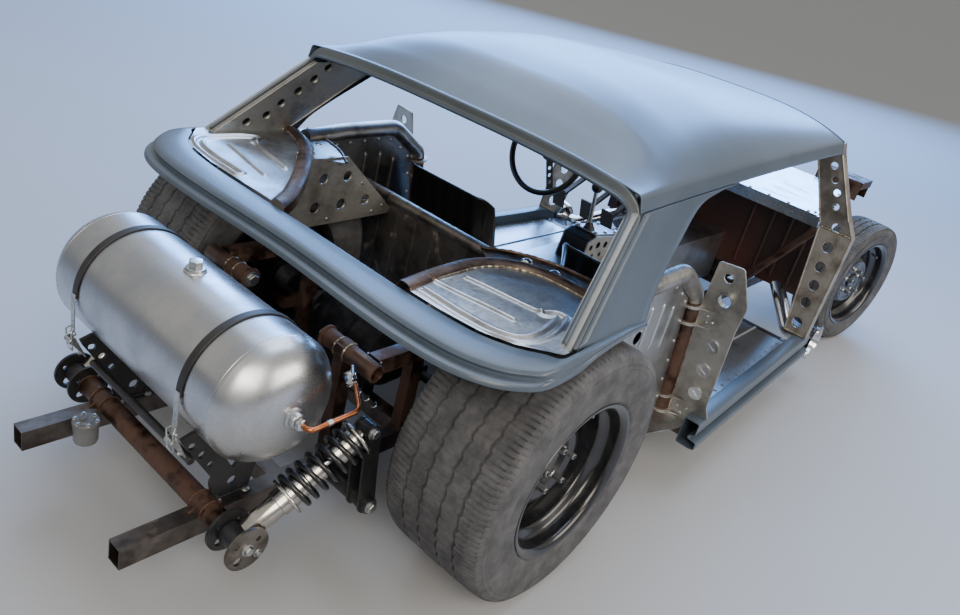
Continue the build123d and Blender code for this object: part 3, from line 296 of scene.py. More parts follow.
    def plate(self, outline: list | Array, holes: list, origin: Point, x_dir: Point, y_dir: Point,
              thickness: float, finish: Finish | None = None) -> None:
        """A flat plate with round or shaped holes.

        Args:
            outline: its corners in the plate's own two coordinates.
            holes: one array of points for each hole.
            origin: where those coordinates are 0.
            x_dir: direction of the first coordinate.
            y_dir: direction of the second.
            thickness: how far it reaches along x_dir cross y_dir.
            finish: the finish.
        """
        loops = [np.asarray(loop, float) for loop in [outline, *holes]]
        x, y = unit(x_dir), unit(y_dir)
        normal = unit(np.cross(x, y))
        flat = np.vstack(loops)
        low = np.asarray(origin, float) + flat[:, :1] * x + flat[:, 1:] * y
        high = low + normal * thickness
        triangles = np.array(tessellate_polygon(
            [[(float(a), float(b), 0.0) for a, b in loop] for loop in loops]))
        a, b, c = (flat[triangles[:, k]] for k in range(3))
        turn = (b[:, 0] - a[:, 0]) * (c[:, 1] - a[:, 1]) - (b[:, 1] - a[:, 1]) * (c[:, 0] - a[:, 0])
        triangles[turn < 0] = triangles[turn < 0][:, ::-1]
        self.mesh(np.vstack([low, high]),
                  np.vstack([triangles[:, ::-1], triangles + len(flat)]), finish)
        start = 0
        for number, loop in enumerate(loops):
            ids = start + np.arange(len(loop))
            ahead = np.roll(ids, -1)
            after = np.roll(loop, -1, 0)
            area = np.sum(loop[:, 0] * after[:, 1] - loop[:, 1] * after[:, 0])
            walls = np.stack([ids, ahead, ahead + len(flat), ids + len(flat)], -1)
            if (area > 0) != (number == 0):
                walls = walls[:, ::-1]
            self.mesh(np.vstack([low, high]), walls, finish)
            start += len(loop)

    def dimple(self, centre: Point, axis: Point, radius: float, depth: float = 5.0,
               finish: Finish | None = None, rim: float = 6.0) -> None:
        """The flared lip of a punched hole: a quarter-round from the plate down into it.

        Args:
            centre: the hole's middle on the plate's near face.
            axis: the way the lip goes.
            radius: of the clear hole.
            depth: of the lip.
            finish: the finish.
            rim: how much wider the flare is at the plate.
        """
        a = np.linspace(0, np.pi / 2, 5)
        top = [(radius + rim * (1 - math.sin(k)), depth * (1 - math.cos(k))) for k in a]
        back = [(radius + 1.6 + rim * (1 - math.sin(k)), depth * (1 - math.cos(k)) + 1.2)
                for k in a[::-1]]
        self.lathe(top + back, centre, axis, finish, 24, close=True)

    def bolt(self, centre: Point, axis: Point, flats: float = 13.0, height: float = 7.0,
             finish: Finish | None = None) -> None:
        """Hexagon head with a chamfered top, and a washer under it."""
        r = flats / 2 / math.cos(math.pi / 6)
        self.lathe([(0, 1.8), (flats * 0.72, 1.8), (flats * 0.78, 1.2), (flats * 0.78, 0)],
                   centre, axis, finish, 18)
        self.lathe([(0, height + 1.6), (r * 0.55, height + 1.6), (r * 0.9, height + 1.5),
                    (r, height), (r, 1.6)], centre, axis, finish, 12, hexagon=True)

    def weld(self, line: list | Array, radius: float = 3.0, finish: Finish | None = None,
             ripple: float = 3.2, up: Point | None = None) -> None:
        """A weld bead: a thin tube whose radius swells and shrinks with each ripple."""
        line = np.asarray(line, float)
        length = np.linalg.norm(np.diff(line, axis=0), axis=1).sum()
        count = max(int(length / ripple * 2), 8)
        along = np.linspace(0, len(line) - 1, count)
        k = np.minimum(along.astype(int), len(line) - 2)
        f = (along - k)[:, None]
        dense = line[k] * (1 - f) + line[k + 1] * f
        beat = 1 + 0.16 * np.cos(np.arange(count) * np.pi) + 0.12 * np.sin(along * 7.3)
        self.tube(dense, radius * beat, finish, 6, up)

    def mirrored(self) -> None:
        """Adds everything so far once more, on the other side of the car."""
        shift = self.count
        self.points += [p * FLIP_Y for p in self.points]
        self.faces += [f[:, ::-1] + shift for f in self.faces]
        self.slots += self.slots
        self.count *= 2

    def swapped(self) -> None:
        """Moves everything so far to the other side of the car."""
        self.points = [p * FLIP_Y for p in self.points]
        self.faces = [f[:, ::-1] for f in self.faces]

    def plate_along(self, outline: Array, holes: list, origin: Point, thickness: float,
                    finish: Finish | None = None) -> None:
        """An upright plate that runs along the car, its thickness towards the right side."""
        self.plate(outline, holes, origin, ALONG, UP, thickness, finish)

    def build_side(self, side: Side, name: str, node: str, slot: str, **looks: float) -> None:
        """Builds a piece drawn for the right side on its own side, which ends both its names."""
        if side is Side.LEFT:
            self.swapped()
        end = side.name.lower()
        self.build(f"{name}_{end}", "chassis", (f"{node}_{end}",), slot, **looks)

    def build(self, name: str, body: str, replaces: tuple = (), slot: str = "",
              solid: float = 0.0, smooth: float = 40.0) -> None:
        """Makes the mesh, its object and its ride on a CAD body.

        Args:
            name: the object's name.
            body: the CAD body that it moves with.
            replaces: the CAD nodes that it stands for.
            slot: the record's material slot, or "" for none. It is not used.
            solid: thickness given inwards to open surfaces in millimetres, or 0.
            smooth: edges under this angle in degrees are shaded smooth.
        """
        points = np.vstack(self.points) / 1000.0
        points[:, 0] -= MIDDLE_X / 1000.0
        mesh = bpy.data.meshes.new(name)
        sizes = np.concatenate([np.full(len(f), f.shape[1]) for f in self.faces])
        loops = np.concatenate([f.ravel() for f in self.faces])
        mesh.vertices.add(len(points))
        mesh.vertices.foreach_set("co", points.ravel())
        mesh.loops.add(len(loops))
        mesh.loops.foreach_set("vertex_index", loops)
        mesh.polygons.add(len(sizes))
        mesh.polygons.foreach_set("loop_start", np.r_[0, np.cumsum(sizes)[:-1]])
        mesh.polygons.foreach_set("loop_total", sizes)
        mesh.polygons.foreach_set("material_index", np.concatenate(self.slots))
        layer = mesh.uv_layers.new(name="UVMap")
        layer.data.foreach_set("uv", np.zeros(2 * len(loops)))
        mesh.update(calc_edges=True)
        mesh.validate()
        for finish in self.finishes:
            mesh.materials.append(finish.material())
        weld_doubles(mesh)
        mesh.polygons.foreach_set("use_smooth", np.ones(len(mesh.polygons), bool))
        mesh.set_sharp_from_angle(angle=math.radians(smooth))
        piece = bpy.data.objects.new(name, mesh)
        bpy.context.scene.collection.objects.link(piece)
        if solid:
            wall = piece.modifiers.new("wall", "SOLIDIFY")
            wall.thickness = solid / 1000.0
            wall.offset = -1.0
        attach(piece, body)
        if replaces:
            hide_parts(*replaces)
        log.info("%s: %d faces", name, len(mesh.polygons))


def weld_doubles(mesh: bpy.types.Mesh) -> None:
    """Merges corners that lie in one place, and drops faces that this leaves empty."""
    work = bmesh.new()
    work.from_mesh(mesh)
    bmesh.ops.remove_doubles(work, verts=work.verts, dist=2e-6)
    work.to_mesh(mesh)
    work.free()


# Finishes

def linear(colour: str) -> tuple[float, float, float, float]:
    """Linear colour of an sRGB hex value."""
    c = np.array([int(colour[k:k + 2], 16) for k in (1, 3, 5)]) / 255.0
    c = np.where(c <= 0.04045, c / 12.92, ((c + 0.055) / 1.055) ** 2.4)
    return (*c.tolist(), 1.0)


def add_node(tree: Tree, kind: str, settings: dict | None = None,
             links: dict | None = None) -> Node:
    """Adds a shader node.

    Args:
        tree: the material's node tree.
        kind: the node's type.
        settings: values by input name or number, or by the node's own attribute.
        links: for each input, the node that feeds it and the name or number of its output.
    Returns:
        The node.
    """
    made = tree.nodes.new(kind)
    for key, value in (settings or {}).items():
        if isinstance(key, str) and key not in made.inputs and hasattr(made, key):
            setattr(made, key, value)
        else:
            made.inputs[key].default_value = value
    for key, (source, output) in (links or {}).items():
        tree.links.new(source.outputs[output], made.inputs[key])
    return made


def ramp(tree: Tree, source: Node, output: str, low: float, high: float) -> Node:
    """A smooth step from 0 to 1 as a value goes from low to high."""
    return add_node(tree, "ShaderNodeMapRange",
                    {"interpolation_type": "SMOOTHSTEP", "From Min": low, "From Max": high},
                    {"Value": (source, output)})


def spread(tree: Tree, source: Node, low: float, high: float) -> Node:
    """Stretches a value from 0 to 1 to one from low to high."""
    return add_node(tree, "ShaderNodeMapRange", {"To Min": low, "To Max": high},
                    {"Value": (source, 0)})


def feed(tree: Tree, shader: Node, name: str, source: Node, output: int = 0) -> None:
    """Links a node's output to one of the shader's inputs."""
    tree.links.new(source.outputs[output], shader.inputs[name])


def feed_bump(tree: Tree, shader: Node, height: Node, strength: float, depth_m: float) -> None:
    """Lets a height bend the shader's normal."""
    bump = add_node(tree, "ShaderNodeBump", {"Strength": strength, "Distance": depth_m},
                    {"Height": (height, 0)})
    feed(tree, shader, "Normal", bump)


def noise(tree: Tree, place: Node, size_mm: float, detail: float = 3.0, rough: float = 0.55,
          stretch: tuple = (1.0, 1.0, 1.0)) -> Node:
    """Noise with grains of a real size, drawn out along an axis where stretch is over 1."""
    scale = tuple(1000.0 / size_mm / s for s in stretch)
    moved = add_node(tree, "ShaderNodeMapping", {"Scale": scale}, {"Vector": (place, "Object")})
    grains = {"Scale": 1.0, "Detail": detail, "Roughness": rough}
    return add_node(tree, "ShaderNodeTexNoise", grains, {"Vector": (moved, 0)})


def mixed(tree: Tree, share: tuple, a: object, b: object) -> Node:
    """Mixes two colours, each a hex value or a node with its output, by a share.

    The node takes the colours at its inputs 6 and 7, and gives the mix at its output 2.
    """
    made = add_node(tree, "ShaderNodeMix", {"data_type": "RGBA"}, {0: share})
    for number, value in ((6, a), (7, b)):
        if isinstance(value, str):
            made.inputs[number].default_value = linear(value)
        else:
            tree.links.new(value[0].outputs[value[1]], made.inputs[number])
    return made


_made: dict[str, bpy.types.Material] = {}


@dataclass(frozen=True)
class Finish:
    """A finish by name. Each kind of finish wires its own nodes."""

    name: str

    def material(self) -> bpy.types.Material:
        """The finish's material, made the first time it is asked for."""
        if self.name not in _made:
            made = bpy.data.materials.new(self.name)
            made.use_nodes = True
            shader = made.node_tree.nodes["Principled BSDF"]
            place = add_node(made.node_tree, "ShaderNodeTexCoord")
            self.wire(made.node_tree, shader, place)
            _made[self.name] = made
        return _made[self.name]

    def wire(self, tree: Tree, shader: Node, place: Node) -> None:
        """Links the finish's nodes to the shader."""
        raise NotImplementedError


@dataclass(frozen=True)
class Paint(Finish):
    """Sprayed paint: an even colour that drifts over the panel, dust, and orange peel."""

    colour: str = "#7f8c99"
    drift: str = "#6f7b88"
    roughness: float = 0.42
    dust: str = "#a39c92"
    dust_share: float = 0.10
    peel_mm: float = 2.5
    peel: float = 0.05
    coat: float = 0.0
    metallic: float = 0.0

    def wire(self, tree: Tree, shader: Node, place: Node) -> None:
        """Two sizes of noise move the colour and the dust, and a fine one is the orange peel."""
        broad = noise(tree, place, 260, 3)
        drift = mixed(tree, (ramp(tree, broad, 0, 0.35, 0.65), 0), self.colour, self.drift)
        fine = noise(tree, place, 18, 6, 0.7)
        dusty = add_node(tree, "ShaderNodeMath", {"operation": "MULTIPLY", 1: self.dust_share},
                         {0: (ramp(tree, fine, 0, 0.42, 0.75), 0)})
        colour = mixed(tree, (dusty, 0), (drift, 2), self.dust)
        feed(tree, shader, "Base Color", colour, 2)
        feed(tree, shader, "Roughness",
             spread(tree, fine, self.roughness - 0.05, self.roughness + 0.09))
        shader.inputs["Metallic"].default_value = self.metallic
        shader.inputs["Coat Weight"].default_value = self.coat
        shader.inputs["Coat Roughness"].default_value = 0.12
        feed_bump(tree, shader, noise(tree, place, self.peel_mm, 2), self.peel, 0.0006)


@dataclass(frozen=True)
class Steel(Finish):
    """Bare sheet or bar: metal with mill scale, rust where the noise is high, and scratches."""

    metal: str = "#8a8784"
    scale_colour: str = "#3b3734"
    rust: str = "#6b3b22"
    scale_share: float = 0.35
    rust_share: float = 0.25
    roughness: float = 0.38
    patch_mm: float = 70.0
    scratch_mm: float = 1.6
    stretch: tuple = (14.0, 1.0, 1.0)
    bump: float = 0.12
    pitted: float = 0.0

    def wire(self, tree: Tree, shader: Node, place: Node) -> None:
        """Broad noise parts metal from scale, a rough one lays rust, a drawn-out one scratches."""
        broad = noise(tree, place, self.patch_mm * 1.7, 5, 0.62)
        edge = 0.72 - 0.42 * self.scale_share
        scaled = ramp(tree, broad, 0, edge - 0.16, edge + 0.12)
        base = mixed(tree, (scaled, 0), self.metal, self.scale_colour)
        patch = noise(tree, place, self.patch_mm, 8, 0.68)
        edge = 0.74 - 0.48 * self.rust_share
        rusty = ramp(tree, patch, 0, edge - 0.07, edge + 0.09)
        grain = noise(tree, place, 7, 6, 0.7)
        deep = mixed(tree, (ramp(tree, grain, 0, 0.35, 0.7), 0), self.rust, self.scale_colour)
        scratch = noise(tree, place, self.scratch_mm, 2, 0.5, self.stretch)
        streak = spread(tree, scratch, 0.72, 1.22)
        lit = add_node(tree, "ShaderNodeVectorMath", {"operation": "MULTIPLY"},
                       {0: (base, 2), 1: (streak, 0)})
        colour = mixed(tree, (rusty, 0), (lit, 0), (deep, 2))
        feed(tree, shader, "Base Color", colour, 2)
        feed(tree, shader, "Metallic", spread(tree, rusty, 1.0, 0.08))
        worn = add_node(tree, "ShaderNodeMath",
                        {"operation": "MULTIPLY_ADD", 1: 0.32, 2: self.roughness}, {0: (rusty, 0)})
        rough = add_node(tree, "ShaderNodeMath", {"operation": "MULTIPLY_ADD", 1: 0.22},
                         {0: (scratch, 0), 2: (worn, 0)})
        feed(tree, shader, "Roughness", rough)
        relief = add_node(tree, "ShaderNodeMath",
                          {"operation": "MULTIPLY_ADD", 1: self.pitted + 0.25},
                          {0: (grain, 0), 2: (scratch, 0)})
        feed_bump(tree, shader, relief, self.bump, 0.001)


@dataclass(frozen=True)
class Plated(Finish):
    """Plated, spun or polished metal: even colour, smudged roughness, lines from its making."""

    colour: str = "#c9cbcc"
    tint: str = "#aeb2b6"
    roughness: float = 0.22
    smudge: float = 0.14
    smudge_mm: float = 60.0
    line_mm: float = 1.2
    stretch: tuple = (1.0, 1.0, 1.0)
    bump: float = 0.04

    def wire(self, tree: Tree, shader: Node, place: Node) -> None:
        """Broad noise smudges colour and roughness, and a fine drawn-out one makes the lines."""
        broad = noise(tree, place, self.smudge_mm, 5, 0.6)
        soft = ramp(tree, broad, 0, 0.3, 0.72)
        colour = mixed(tree, (soft, 0), self.colour, self.tint)
        lines = noise(tree, place, self.line_mm, 2, 0.5, self.stretch)
        streak = spread(tree, lines, 0.86, 1.10)
        lit = add_node(tree, "ShaderNodeVectorMath", {"operation": "MULTIPLY"},
                       {0: (colour, 2), 1: (streak, 0)})
        feed(tree, shader, "Base Color", lit)
        shader.inputs["Metallic"].default_value = 1.0
        feed(tree, shader, "Roughness",
             spread(tree, soft, self.roughness, self.roughness + self.smudge))
        feed_bump(tree, shader, lines, self.bump, 0.0005)


@dataclass(frozen=True)
class Rubber(Finish):
    """Moulded rubber: near black, greyer where dust lies, with a fine matte grain."""

    colour: str = "#2c2c2d"
    dust: str = "#6f6a63"
    dust_share: float = 0.35
    roughness: float = 0.72
    grain_mm: float = 1.5

    def wire(self, tree: Tree, shader: Node, place: Node) -> None:
        """Broad noise lays the dust, and a fine one is the grain."""
        broad = noise(tree, place, 55, 6, 0.7)
        dusty = add_node(tree, "ShaderNodeMath", {"operation": "MULTIPLY", 1: self.dust_share},
                         {0: (ramp(tree, broad, 0, 0.3, 0.75), 0)})
        colour = mixed(tree, (dusty, 0), self.colour, self.dust)
        feed(tree, shader, "Base Color", colour, 2)
        shader.inputs["Roughness"].default_value = self.roughness
        feed_bump(tree, shader, noise(tree, place, self.grain_mm, 3), 0.22, 0.0006)


# Satin primer: sprayed by gun and left uncoated, so it shows broad soft highlights
PRIMER = Paint("satin_primer", "#47525e", "#3f4a55", 0.30, "#84827d", 0.05)
# Gloss enamel on pressed wheels: deep black with sharp highlights under thin dust
WHEEL_ENAMEL = Paint("wheel_enamel", "#0e0f12", "#15161a", 0.20, "#5a554e", 0.10, coat=0.4)
# Satin chassis black: brushed or sprayed on laser-cut brackets
BRACKET_BLACK = Paint("bracket_black", "#17181a", "#222326", 0.36, "#57504a", 0.16)
# Red oxide primer: chalky and matte, with dark handling marks
RED_OXIDE = Paint("red_oxide", "#38170f", "#20100d", 0.55, "#1c1614", 0.40)
# Grey enamel on a cast lid and bowl: mid grey, with dull oily patches
GREY_ENAMEL = Paint("grey_enamel", "#6b6d6e", "#505354", 0.44, "#3c3835", 0.30)
# Black-painted sheet: a smooth film with a light sheen on ribs and rolled edges
SEAT_BLACK = Paint("seat_black", "#141517", "#0d0e10", 0.30, "#4a4641", 0.10, coat=0.15)
# Spun aluminium: turned on a lathe, so fine rings run round the tank
SPUN_ALUMINIUM = Plated("spun_aluminium", "#c3c4c5", "#a7abb0", 0.24, 0.15, 130.0, 0.9,
                        (60.0, 1.0, 60.0), 0.05)
# Hot rolled box section: blue-grey mill scale, rubbed bright on edges, rust blooming
RAIL_STEEL = Steel("rail_steel", "#77716d", "#4c4542", "#50392e", 0.55, 0.26, 0.40)
# Handled rusty tube: even brown film rubbed to a shine
RUSTY_TUBE = Steel("rusty_tube", "#67544a", "#43322a", "#4f3427", 0.55, 0.50, 0.34, 90.0)
# Hammered and ground sheet: silver with swirls, dark in the hollows
WORKED_SHEET = Steel("worked_sheet", "#b9bbbd", "#7b7875", "#6a5140", 0.24, 0.06, 0.24, 110.0,
                     2.2, (6.0, 3.0, 1.0), 0.06)
# Pressed sheet under years of surface rust and oil: brownish grey with a dull sheen
AGED_SHEET = Steel("aged_sheet", "#8f8a84", "#5d5751", "#5b4536", 0.42, 0.22, 0.34, 60.0, 2.0,
                   (3.0, 3.0, 1.0), 0.10)
# Ground and oiled pressed channel: mid grey metal, with brown stains in the low places
POLISHED_SHEET = Steel("polished_sheet", "#b4b2af", "#7b746d", "#5f4a3c", 0.34, 0.10, 0.25, 55.0)
# Cut edge of painted sheet: bare, dark and slightly rubbed
EDGE_METAL = Steel("cut_edge", "#5b5a58", "#33312f", "#46352b", 0.50, 0.15, 0.40, 40.0)
# Weld beads: straw and brown heat tints over rippled grey metal
WELD_BEAD = Steel("weld_bead", "#a39a8a", "#6e6353", "#5d4c3c", 0.40, 0.20, 0.34, 12.0, 1.2,
                  (1.0, 1.0, 1.0), 0.10)
# Rolled strip round the tubs: thin even rust that hands have polished
RUST_STRIP = Steel("rust_strip", "#6a5a50", "#453831", "#4c372c", 0.50, 0.45, 0.33, 60.0)
# Oiled cold-rolled sheet: mid grey with an even sheen and light scratches
DARK_SHEET = Steel("dark_sheet", "#7c7c7e", "#555454", "#4d3f36", 0.40, 0.08, 0.30, 80.0)
# Laser-cut plate in bare mill finish: light grey, with faint stains and soft highlights
POST_STEEL = Steel("post_steel", "#bcbbb6", "#8d8a84", "#7a6450", 0.30, 0.08, 0.40, 70.0)
# Old pillar channel, sanded back: warm grey metal, with brown left in its hollows
PILLAR_STEEL = Steel("pillar_steel", "#aaa59c", "#7d7468", "#6f5a48", 0.38, 0.20, 0.38, 50.0)
# Rebate for the rear glass: the primer is thin there and darker, with a green cast
REBATE = Paint("rebate_primer", "#5a605f", "#50565a", 0.34, "#7a7872", 0.08)
# Polished deck panel: almost white, since it mirrors the sky as one pale blur
BRIGHT_DECK = Plated("bright_deck", "#eceef0", "#d9dde2", 0.20, 0.10, 90.0, 1.5, (20.0, 1.0, 1.0))
# Sand-cast iron: coarse grain, oily and near black
CAST_IRON = Steel("cast_iron", "#3a3a3c", "#232324", "#3b2a21", 0.60, 0.22, 0.48, 40.0, 4.0,
                  (1.0, 1.0, 1.0), 0.35, 0.6)
# Zinc plate on bolts and latches: pale grey with cloudy highlights
ZINC = Plated("zinc_plate", "#c4c6c3", "#9fa4a6", 0.28, 0.16, 14.0)
# Chrome on brass fittings and pipes: a mirror of bright and dark bands
CHROME = Plated("chrome", "#dfe2e5", "#c9cdd2", 0.10, 0.06, 30.0)
# Drawn copper pipe: orange metal that is tarnished brown in patches
COPPER = Plated("copper_pipe", "#b8724a", "#8c5236", 0.24, 0.16, 25.0)
# Nickel plate on damper bodies: warm silver with sharp reflections
NICKEL = Plated("nickel_plate", "#c9c5bd", "#aeaaa2", 0.16, 0.10, 30.0)
# Powder-coated spring wire: smooth black, with a clear highlight along each coil
SPRING_BLACK = Paint("spring_black", "#101114", "#17181b", 0.28, "#4c4843", 0.12, coat=0.3)
# Tread and sidewall rubber: dark grey and matte, paler where road dust lies
TYRE_RUBBER = Rubber("tyre_rubber", "#38383a", "#777778", 0.42)
# Hose and boot rubber: cleaner and smoother than a tyre's, black with a low sheen
HOSE_RUBBER = Rubber("hose_rubber", "#17181a", "#4a4643", 0.25, 0.5)

NODES_BY_FINISH: tuple[tuple[Finish, str], ...] = (
    (RAIL_STEEL, "frame_rail_left frame_rail_right frame_crossmembers"),
    (RUSTY_TUBE, "rear_crossbar rear_arms front_suspension front_braces"),
    (BRACKET_BLACK, "shock_mounts tank_cradle steering_column pedals gear_shift"),
    (NICKEL, "coilover_left coilover_right front_coilovers"),
    (SPUN_ALUMINIUM, "fuel_tank"),
    (HOSE_RUBBER, "tank_straps"),
    (COPPER, "fuel_pipe"),
    (GREY_ENAMEL, "filter_canister"),
    (CAST_IRON, "rear_driveline engine_block rack_housing knuckle_left knuckle_right"),
    (ZINC, "steering_rack"),
    (SEAT_BLACK, "steering_wheel seat_left seat_right"),
    (PRIMER, "roof_shell deck_band rocker_left rocker_right"),
    (WORKED_SHEET,
     "c_pillar_channels wheel_tub_left wheel_tub_right quarter_panel_right floor_pan"),
    (AGED_SHEET, "quarter_panel_left rear_bulkhead"),
    (POLISHED_SHEET, "quarter_tubes b_post_left b_post_right a_pillar_left a_pillar_right"),
    (RED_OXIDE, "firewall"),
    (BRIGHT_DECK, "cowl_deck"),
    (CHROME, "exhaust_pipes"),
    (WHEEL_ENAMEL, "front_wheel_left front_wheel_right rear_wheel_left rear_wheel_right"),
    (TYRE_RUBBER, "front_tyre_left front_tyre_right rear_tyre_left rear_tyre_right"),
)

WORN_EDGE_M, WORN_ANGLE = 0.0018, 0.9      # width, and the least turn of an edge that wears
EDGED_NODES = {"frame_rail_left", "frame_rail_right", "frame_crossmembers", "front_suspension",
               "cowl_deck", "rack_housing", "pedals", "rear_bulkhead", "engine_block",
               "knuckle_left", "knuckle_right"}


def dress_nodes() -> None:
    """Gives every CAD node the finish of the real piece."""
    finish_of = {name: finish for finish, names in NODES_BY_FINISH for name in names.split()}
    for name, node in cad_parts.items():
        finish = finish_of[name]
        node.data.materials.clear()
        node.data.materials.append(finish.material())
        if name in EDGED_NODES:
            bevel = node.modifiers.new("worn_edges", "BEVEL")
            bevel.width, bevel.segments = WORN_EDGE_M, 2
            bevel.limit_method, bevel.angle_limit = "ANGLE", WORN_ANGLE
    log.info("%d CAD nodes dressed", len(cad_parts))


# The body's side plane and the roof, as the CAD source has them

SIDE_X, SIDE_Y, SIDE_Z, SIDE_RUN, SIDE_LEAN = 126.0, 568.0, 972.0, 0.0405, 0.317
OUTWARD = unit(np.array([SIDE_RUN, -1.0, SIDE_LEAN]))      # of the right side


def side_y(x: Array, z: Array) -> Array:
    """Distance of the side plane from the middle of the car."""
    return SIDE_Y - SIDE_RUN * (x - SIDE_X) - SIDE_LEAN * (z - SIDE_Z)


def on_side(x: Array, z: Array, inset: float = 0.0) -> Array:
    """Points on the right side plane, moved inwards square to it."""
    x, z = np.broadcast_arrays(np.asarray(x, float), np.asarray(z, float))
    return np.stack([x, -side_y(x, z), z], -1) - OUTWARD * inset


def table_curve(t: Array, places: Array, values: Array) -> Array:
    """Smooth curve through a table that never swings past its values.

    Args:
        t: where it is wanted.
        places: the table's places.
        values: its values.
    Returns:
        Values at t, from a cubic curve whose slopes are the harmonic means of the steps'.
    """
    step = np.diff(values) / np.diff(places)
    same = step[:-1] * step[1:] > 0
    mean = np.where(same, 2 * step[:-1] * step[1:] / np.where(same, step[:-1] + step[1:], 1), 0)
    slope = np.r_[step[0], mean, step[-1]]
    k = np.clip(np.searchsorted(places, t, side="right") - 1, 0, len(places) - 2)
    width = places[k + 1] - places[k]
    f = (t - places[k]) / width
    return ((1 + 2 * f) * (1 - f) ** 2 * values[k] + f * (1 - f) ** 2 * width * slope[k]
            + f * f * (3 - 2 * f) * values[k + 1] + f * f * (f - 1) * width * slope[k + 1])


@dataclass
class HardTop:
    """Domed roof, its side strips, both raked rear pillars and the rebate for the rear glass."""

    front_x: float = 1695.0
    crown_at: tuple = (0.0, 0.05, 0.12, 0.22, 0.36, 0.60, 0.80, 1.0)
    crown: tuple = (25.0, 72.0, 120.0, 141.0, 146.0, 119.0, 90.0, 62.0)
    power: float = 3.2
    strip: float = 40.0
    fold: float = 9.0          # radius of the fold between roof and side
    crease: float = 20.0       # the glass rebate's outer edge, in front of the opening's edge
    opening: tuple = ((-144, 704), (-20, 812), (80, 898), (119, 932))
    window: tuple = ((171, 690), (217, 756), (336, 850), (440, 917), (560, 938), (663, 944))

    def edge_z(self, x: Array) -> Array:
        """Height of the roof's side edge."""
        t = (np.asarray(x, float) - SIDE_X) / (self.front_x - SIDE_X)
        return SIDE_Z + 14 * t + 28 * t * (1 - t)

    def dome(self, t: Array, s: Array) -> Array:
        """Points of the roof skin at t along it and s across it, from -1 to 1."""
        t, s = np.broadcast_arrays(np.asarray(t, float), np.asarray(s, float))
        x = SIDE_X + (self.front_x - SIDE_X) * t
        z = self.edge_z(x)
        high = table_curve(t, np.array(self.crown_at), np.array(self.crown))
        return np.stack([x, s * side_y(x, z), z + high * (1 - np.abs(s) ** self.power)], -1)

    def skin(self, form: Form) -> None:
        """The dome, folded over a small radius into a strip down each side."""
        t = np.linspace(0, 1, 150) ** 1.25
        s = np.linspace(-0.985, 0.985, 131)
        dome = self.dome(t[:, None], s[None])
        edge = self.dome(t, -1.0)
        down = unit(np.array([0.0, -SIDE_LEAN, -1.0]))
        f = np.linspace(0, 1, 6)[None, 1:, None]
        fold = (dome[:, :1] * (1 - f) ** 2 + 2 * edge[:, None] * f * (1 - f)
                + (edge + down * self.fold)[:, None] * f ** 2)
        low = edge[:, None] + down * np.linspace(self.fold, self.strip, 6)[None, 1:, None]
        right = np.concatenate([fold, low], 1)[:, ::-1]
        left = right[:, ::-1] * FLIP_Y
        form.grid(np.concatenate([right, dome, left], 1), PRIMER)

    def pillar(self, form: Form) -> None:
        """Right rear pillar's skin, between the rebate's crease and the side window's edge."""
        crease = curve_through([(x + self.crease, z) for x, z in self.opening], 60)
        window = curve_through(list(self.window), 60)
        top_x = np.linspace(SIDE_X + self.crease, self.window[-1][0], 40)[1:]
        top = np.c_[top_x, self.edge_z(top_x) - self.strip + 1]
        outer = np.vstack([crease, top])
        share, place = np.linspace(0, 1, len(outer)), np.linspace(0, 1, len(window))
        inner = np.c_[np.interp(share, place, window[:, 0]), np.interp(share, place, window[:, 1])]
        f = np.linspace(0, 1, 9)[None, :, None]
        flat = outer[:, None] * (1 - f) + inner[:, None] * f
        form.grid(on_side(flat[..., 0], flat[..., 1]), PRIMER)
        tangent = np.gradient(inner, axis=0)
        away = unit(np.c_[tangent[:, 1], -tangent[:, 0]])
        lip = [(0, 0), (1.2, 0.6), (2.0, 2.0), (2.2, 9.0)]
        rows = [on_side(*(inner + away * a).T, b) for a, b in lip]
        form.grid(np.stack(rows, 1), EDGE_METAL)

    def rebate(self, form: Form) -> None:
        """Stepped rebate for the rear glass: up one pillar, over the roof and down the other.

        Each point of the path has the skin's outward normal and the way into the opening. The
        profile is a rolled edge, a wall inwards, and a ledge with a small lip.
        """
        z = np.linspace(704, 936, 60)
        x_at, z_at = np.array([*self.opening, (SIDE_X, 940)]).T
        x = np.interp(z, z_at, x_at) + self.crease
        side = on_side(x, z)
        run = unit(np.gradient(side, axis=0))
        normal = np.broadcast_to(OUTWARD, side.shape)
        way = unit(np.cross(run, normal))
        s = np.linspace(-0.97, 0.97, 160)
        roof = self.dome(0.0, s)
        rise = unit(self.dome(0.012, s) - roof)
        across = unit(np.gradient(roof, axis=0))
        up = unit(np.cross(rise, across))
        way = way * np.sign(-way[:, :1])
        path = np.concatenate([side, roof, side[::-1] * FLIP_Y])
        normal = np.concatenate([normal, up * np.sign(up[:, 2:]), normal[::-1] * FLIP_Y])
        way = np.concatenate([way, -rise, way[::-1] * FLIP_Y])
        ends = np.r_[0, len(path) - 1]
        for _ in range(14):
            for rows in (path, normal, way):
                kept = rows[ends].copy()
                rows[1:-1] = (rows[:-2] + 2 * rows[1:-1] + rows[2:]) / 4
                rows[ends] = kept
        normal, way = unit(normal), unit(way)
        profile = [(-7, -0.2), (0, 0), (2.5, 0.7), (4.2, 2.4), (5.0, 5.0), (6.0, 15.0), (7.5, 18.0),
                   (10.5, 19.2), (17.0, 19.6), (19.0, 20.4), (20.0, 22.5), (20.0, 27.0)]
        a, b = np.array(profile)[:, :1].T, np.array(profile)[:, 1:].T
        sheet = path[:, None] + way[:, None] * a[..., None] - normal[:, None] * b[..., None]
        form.grid(sheet[:, :4], PRIMER)
        form.grid(sheet[:, 3:8], REBATE)
        form.grid(sheet[:, 7:], PRIMER)

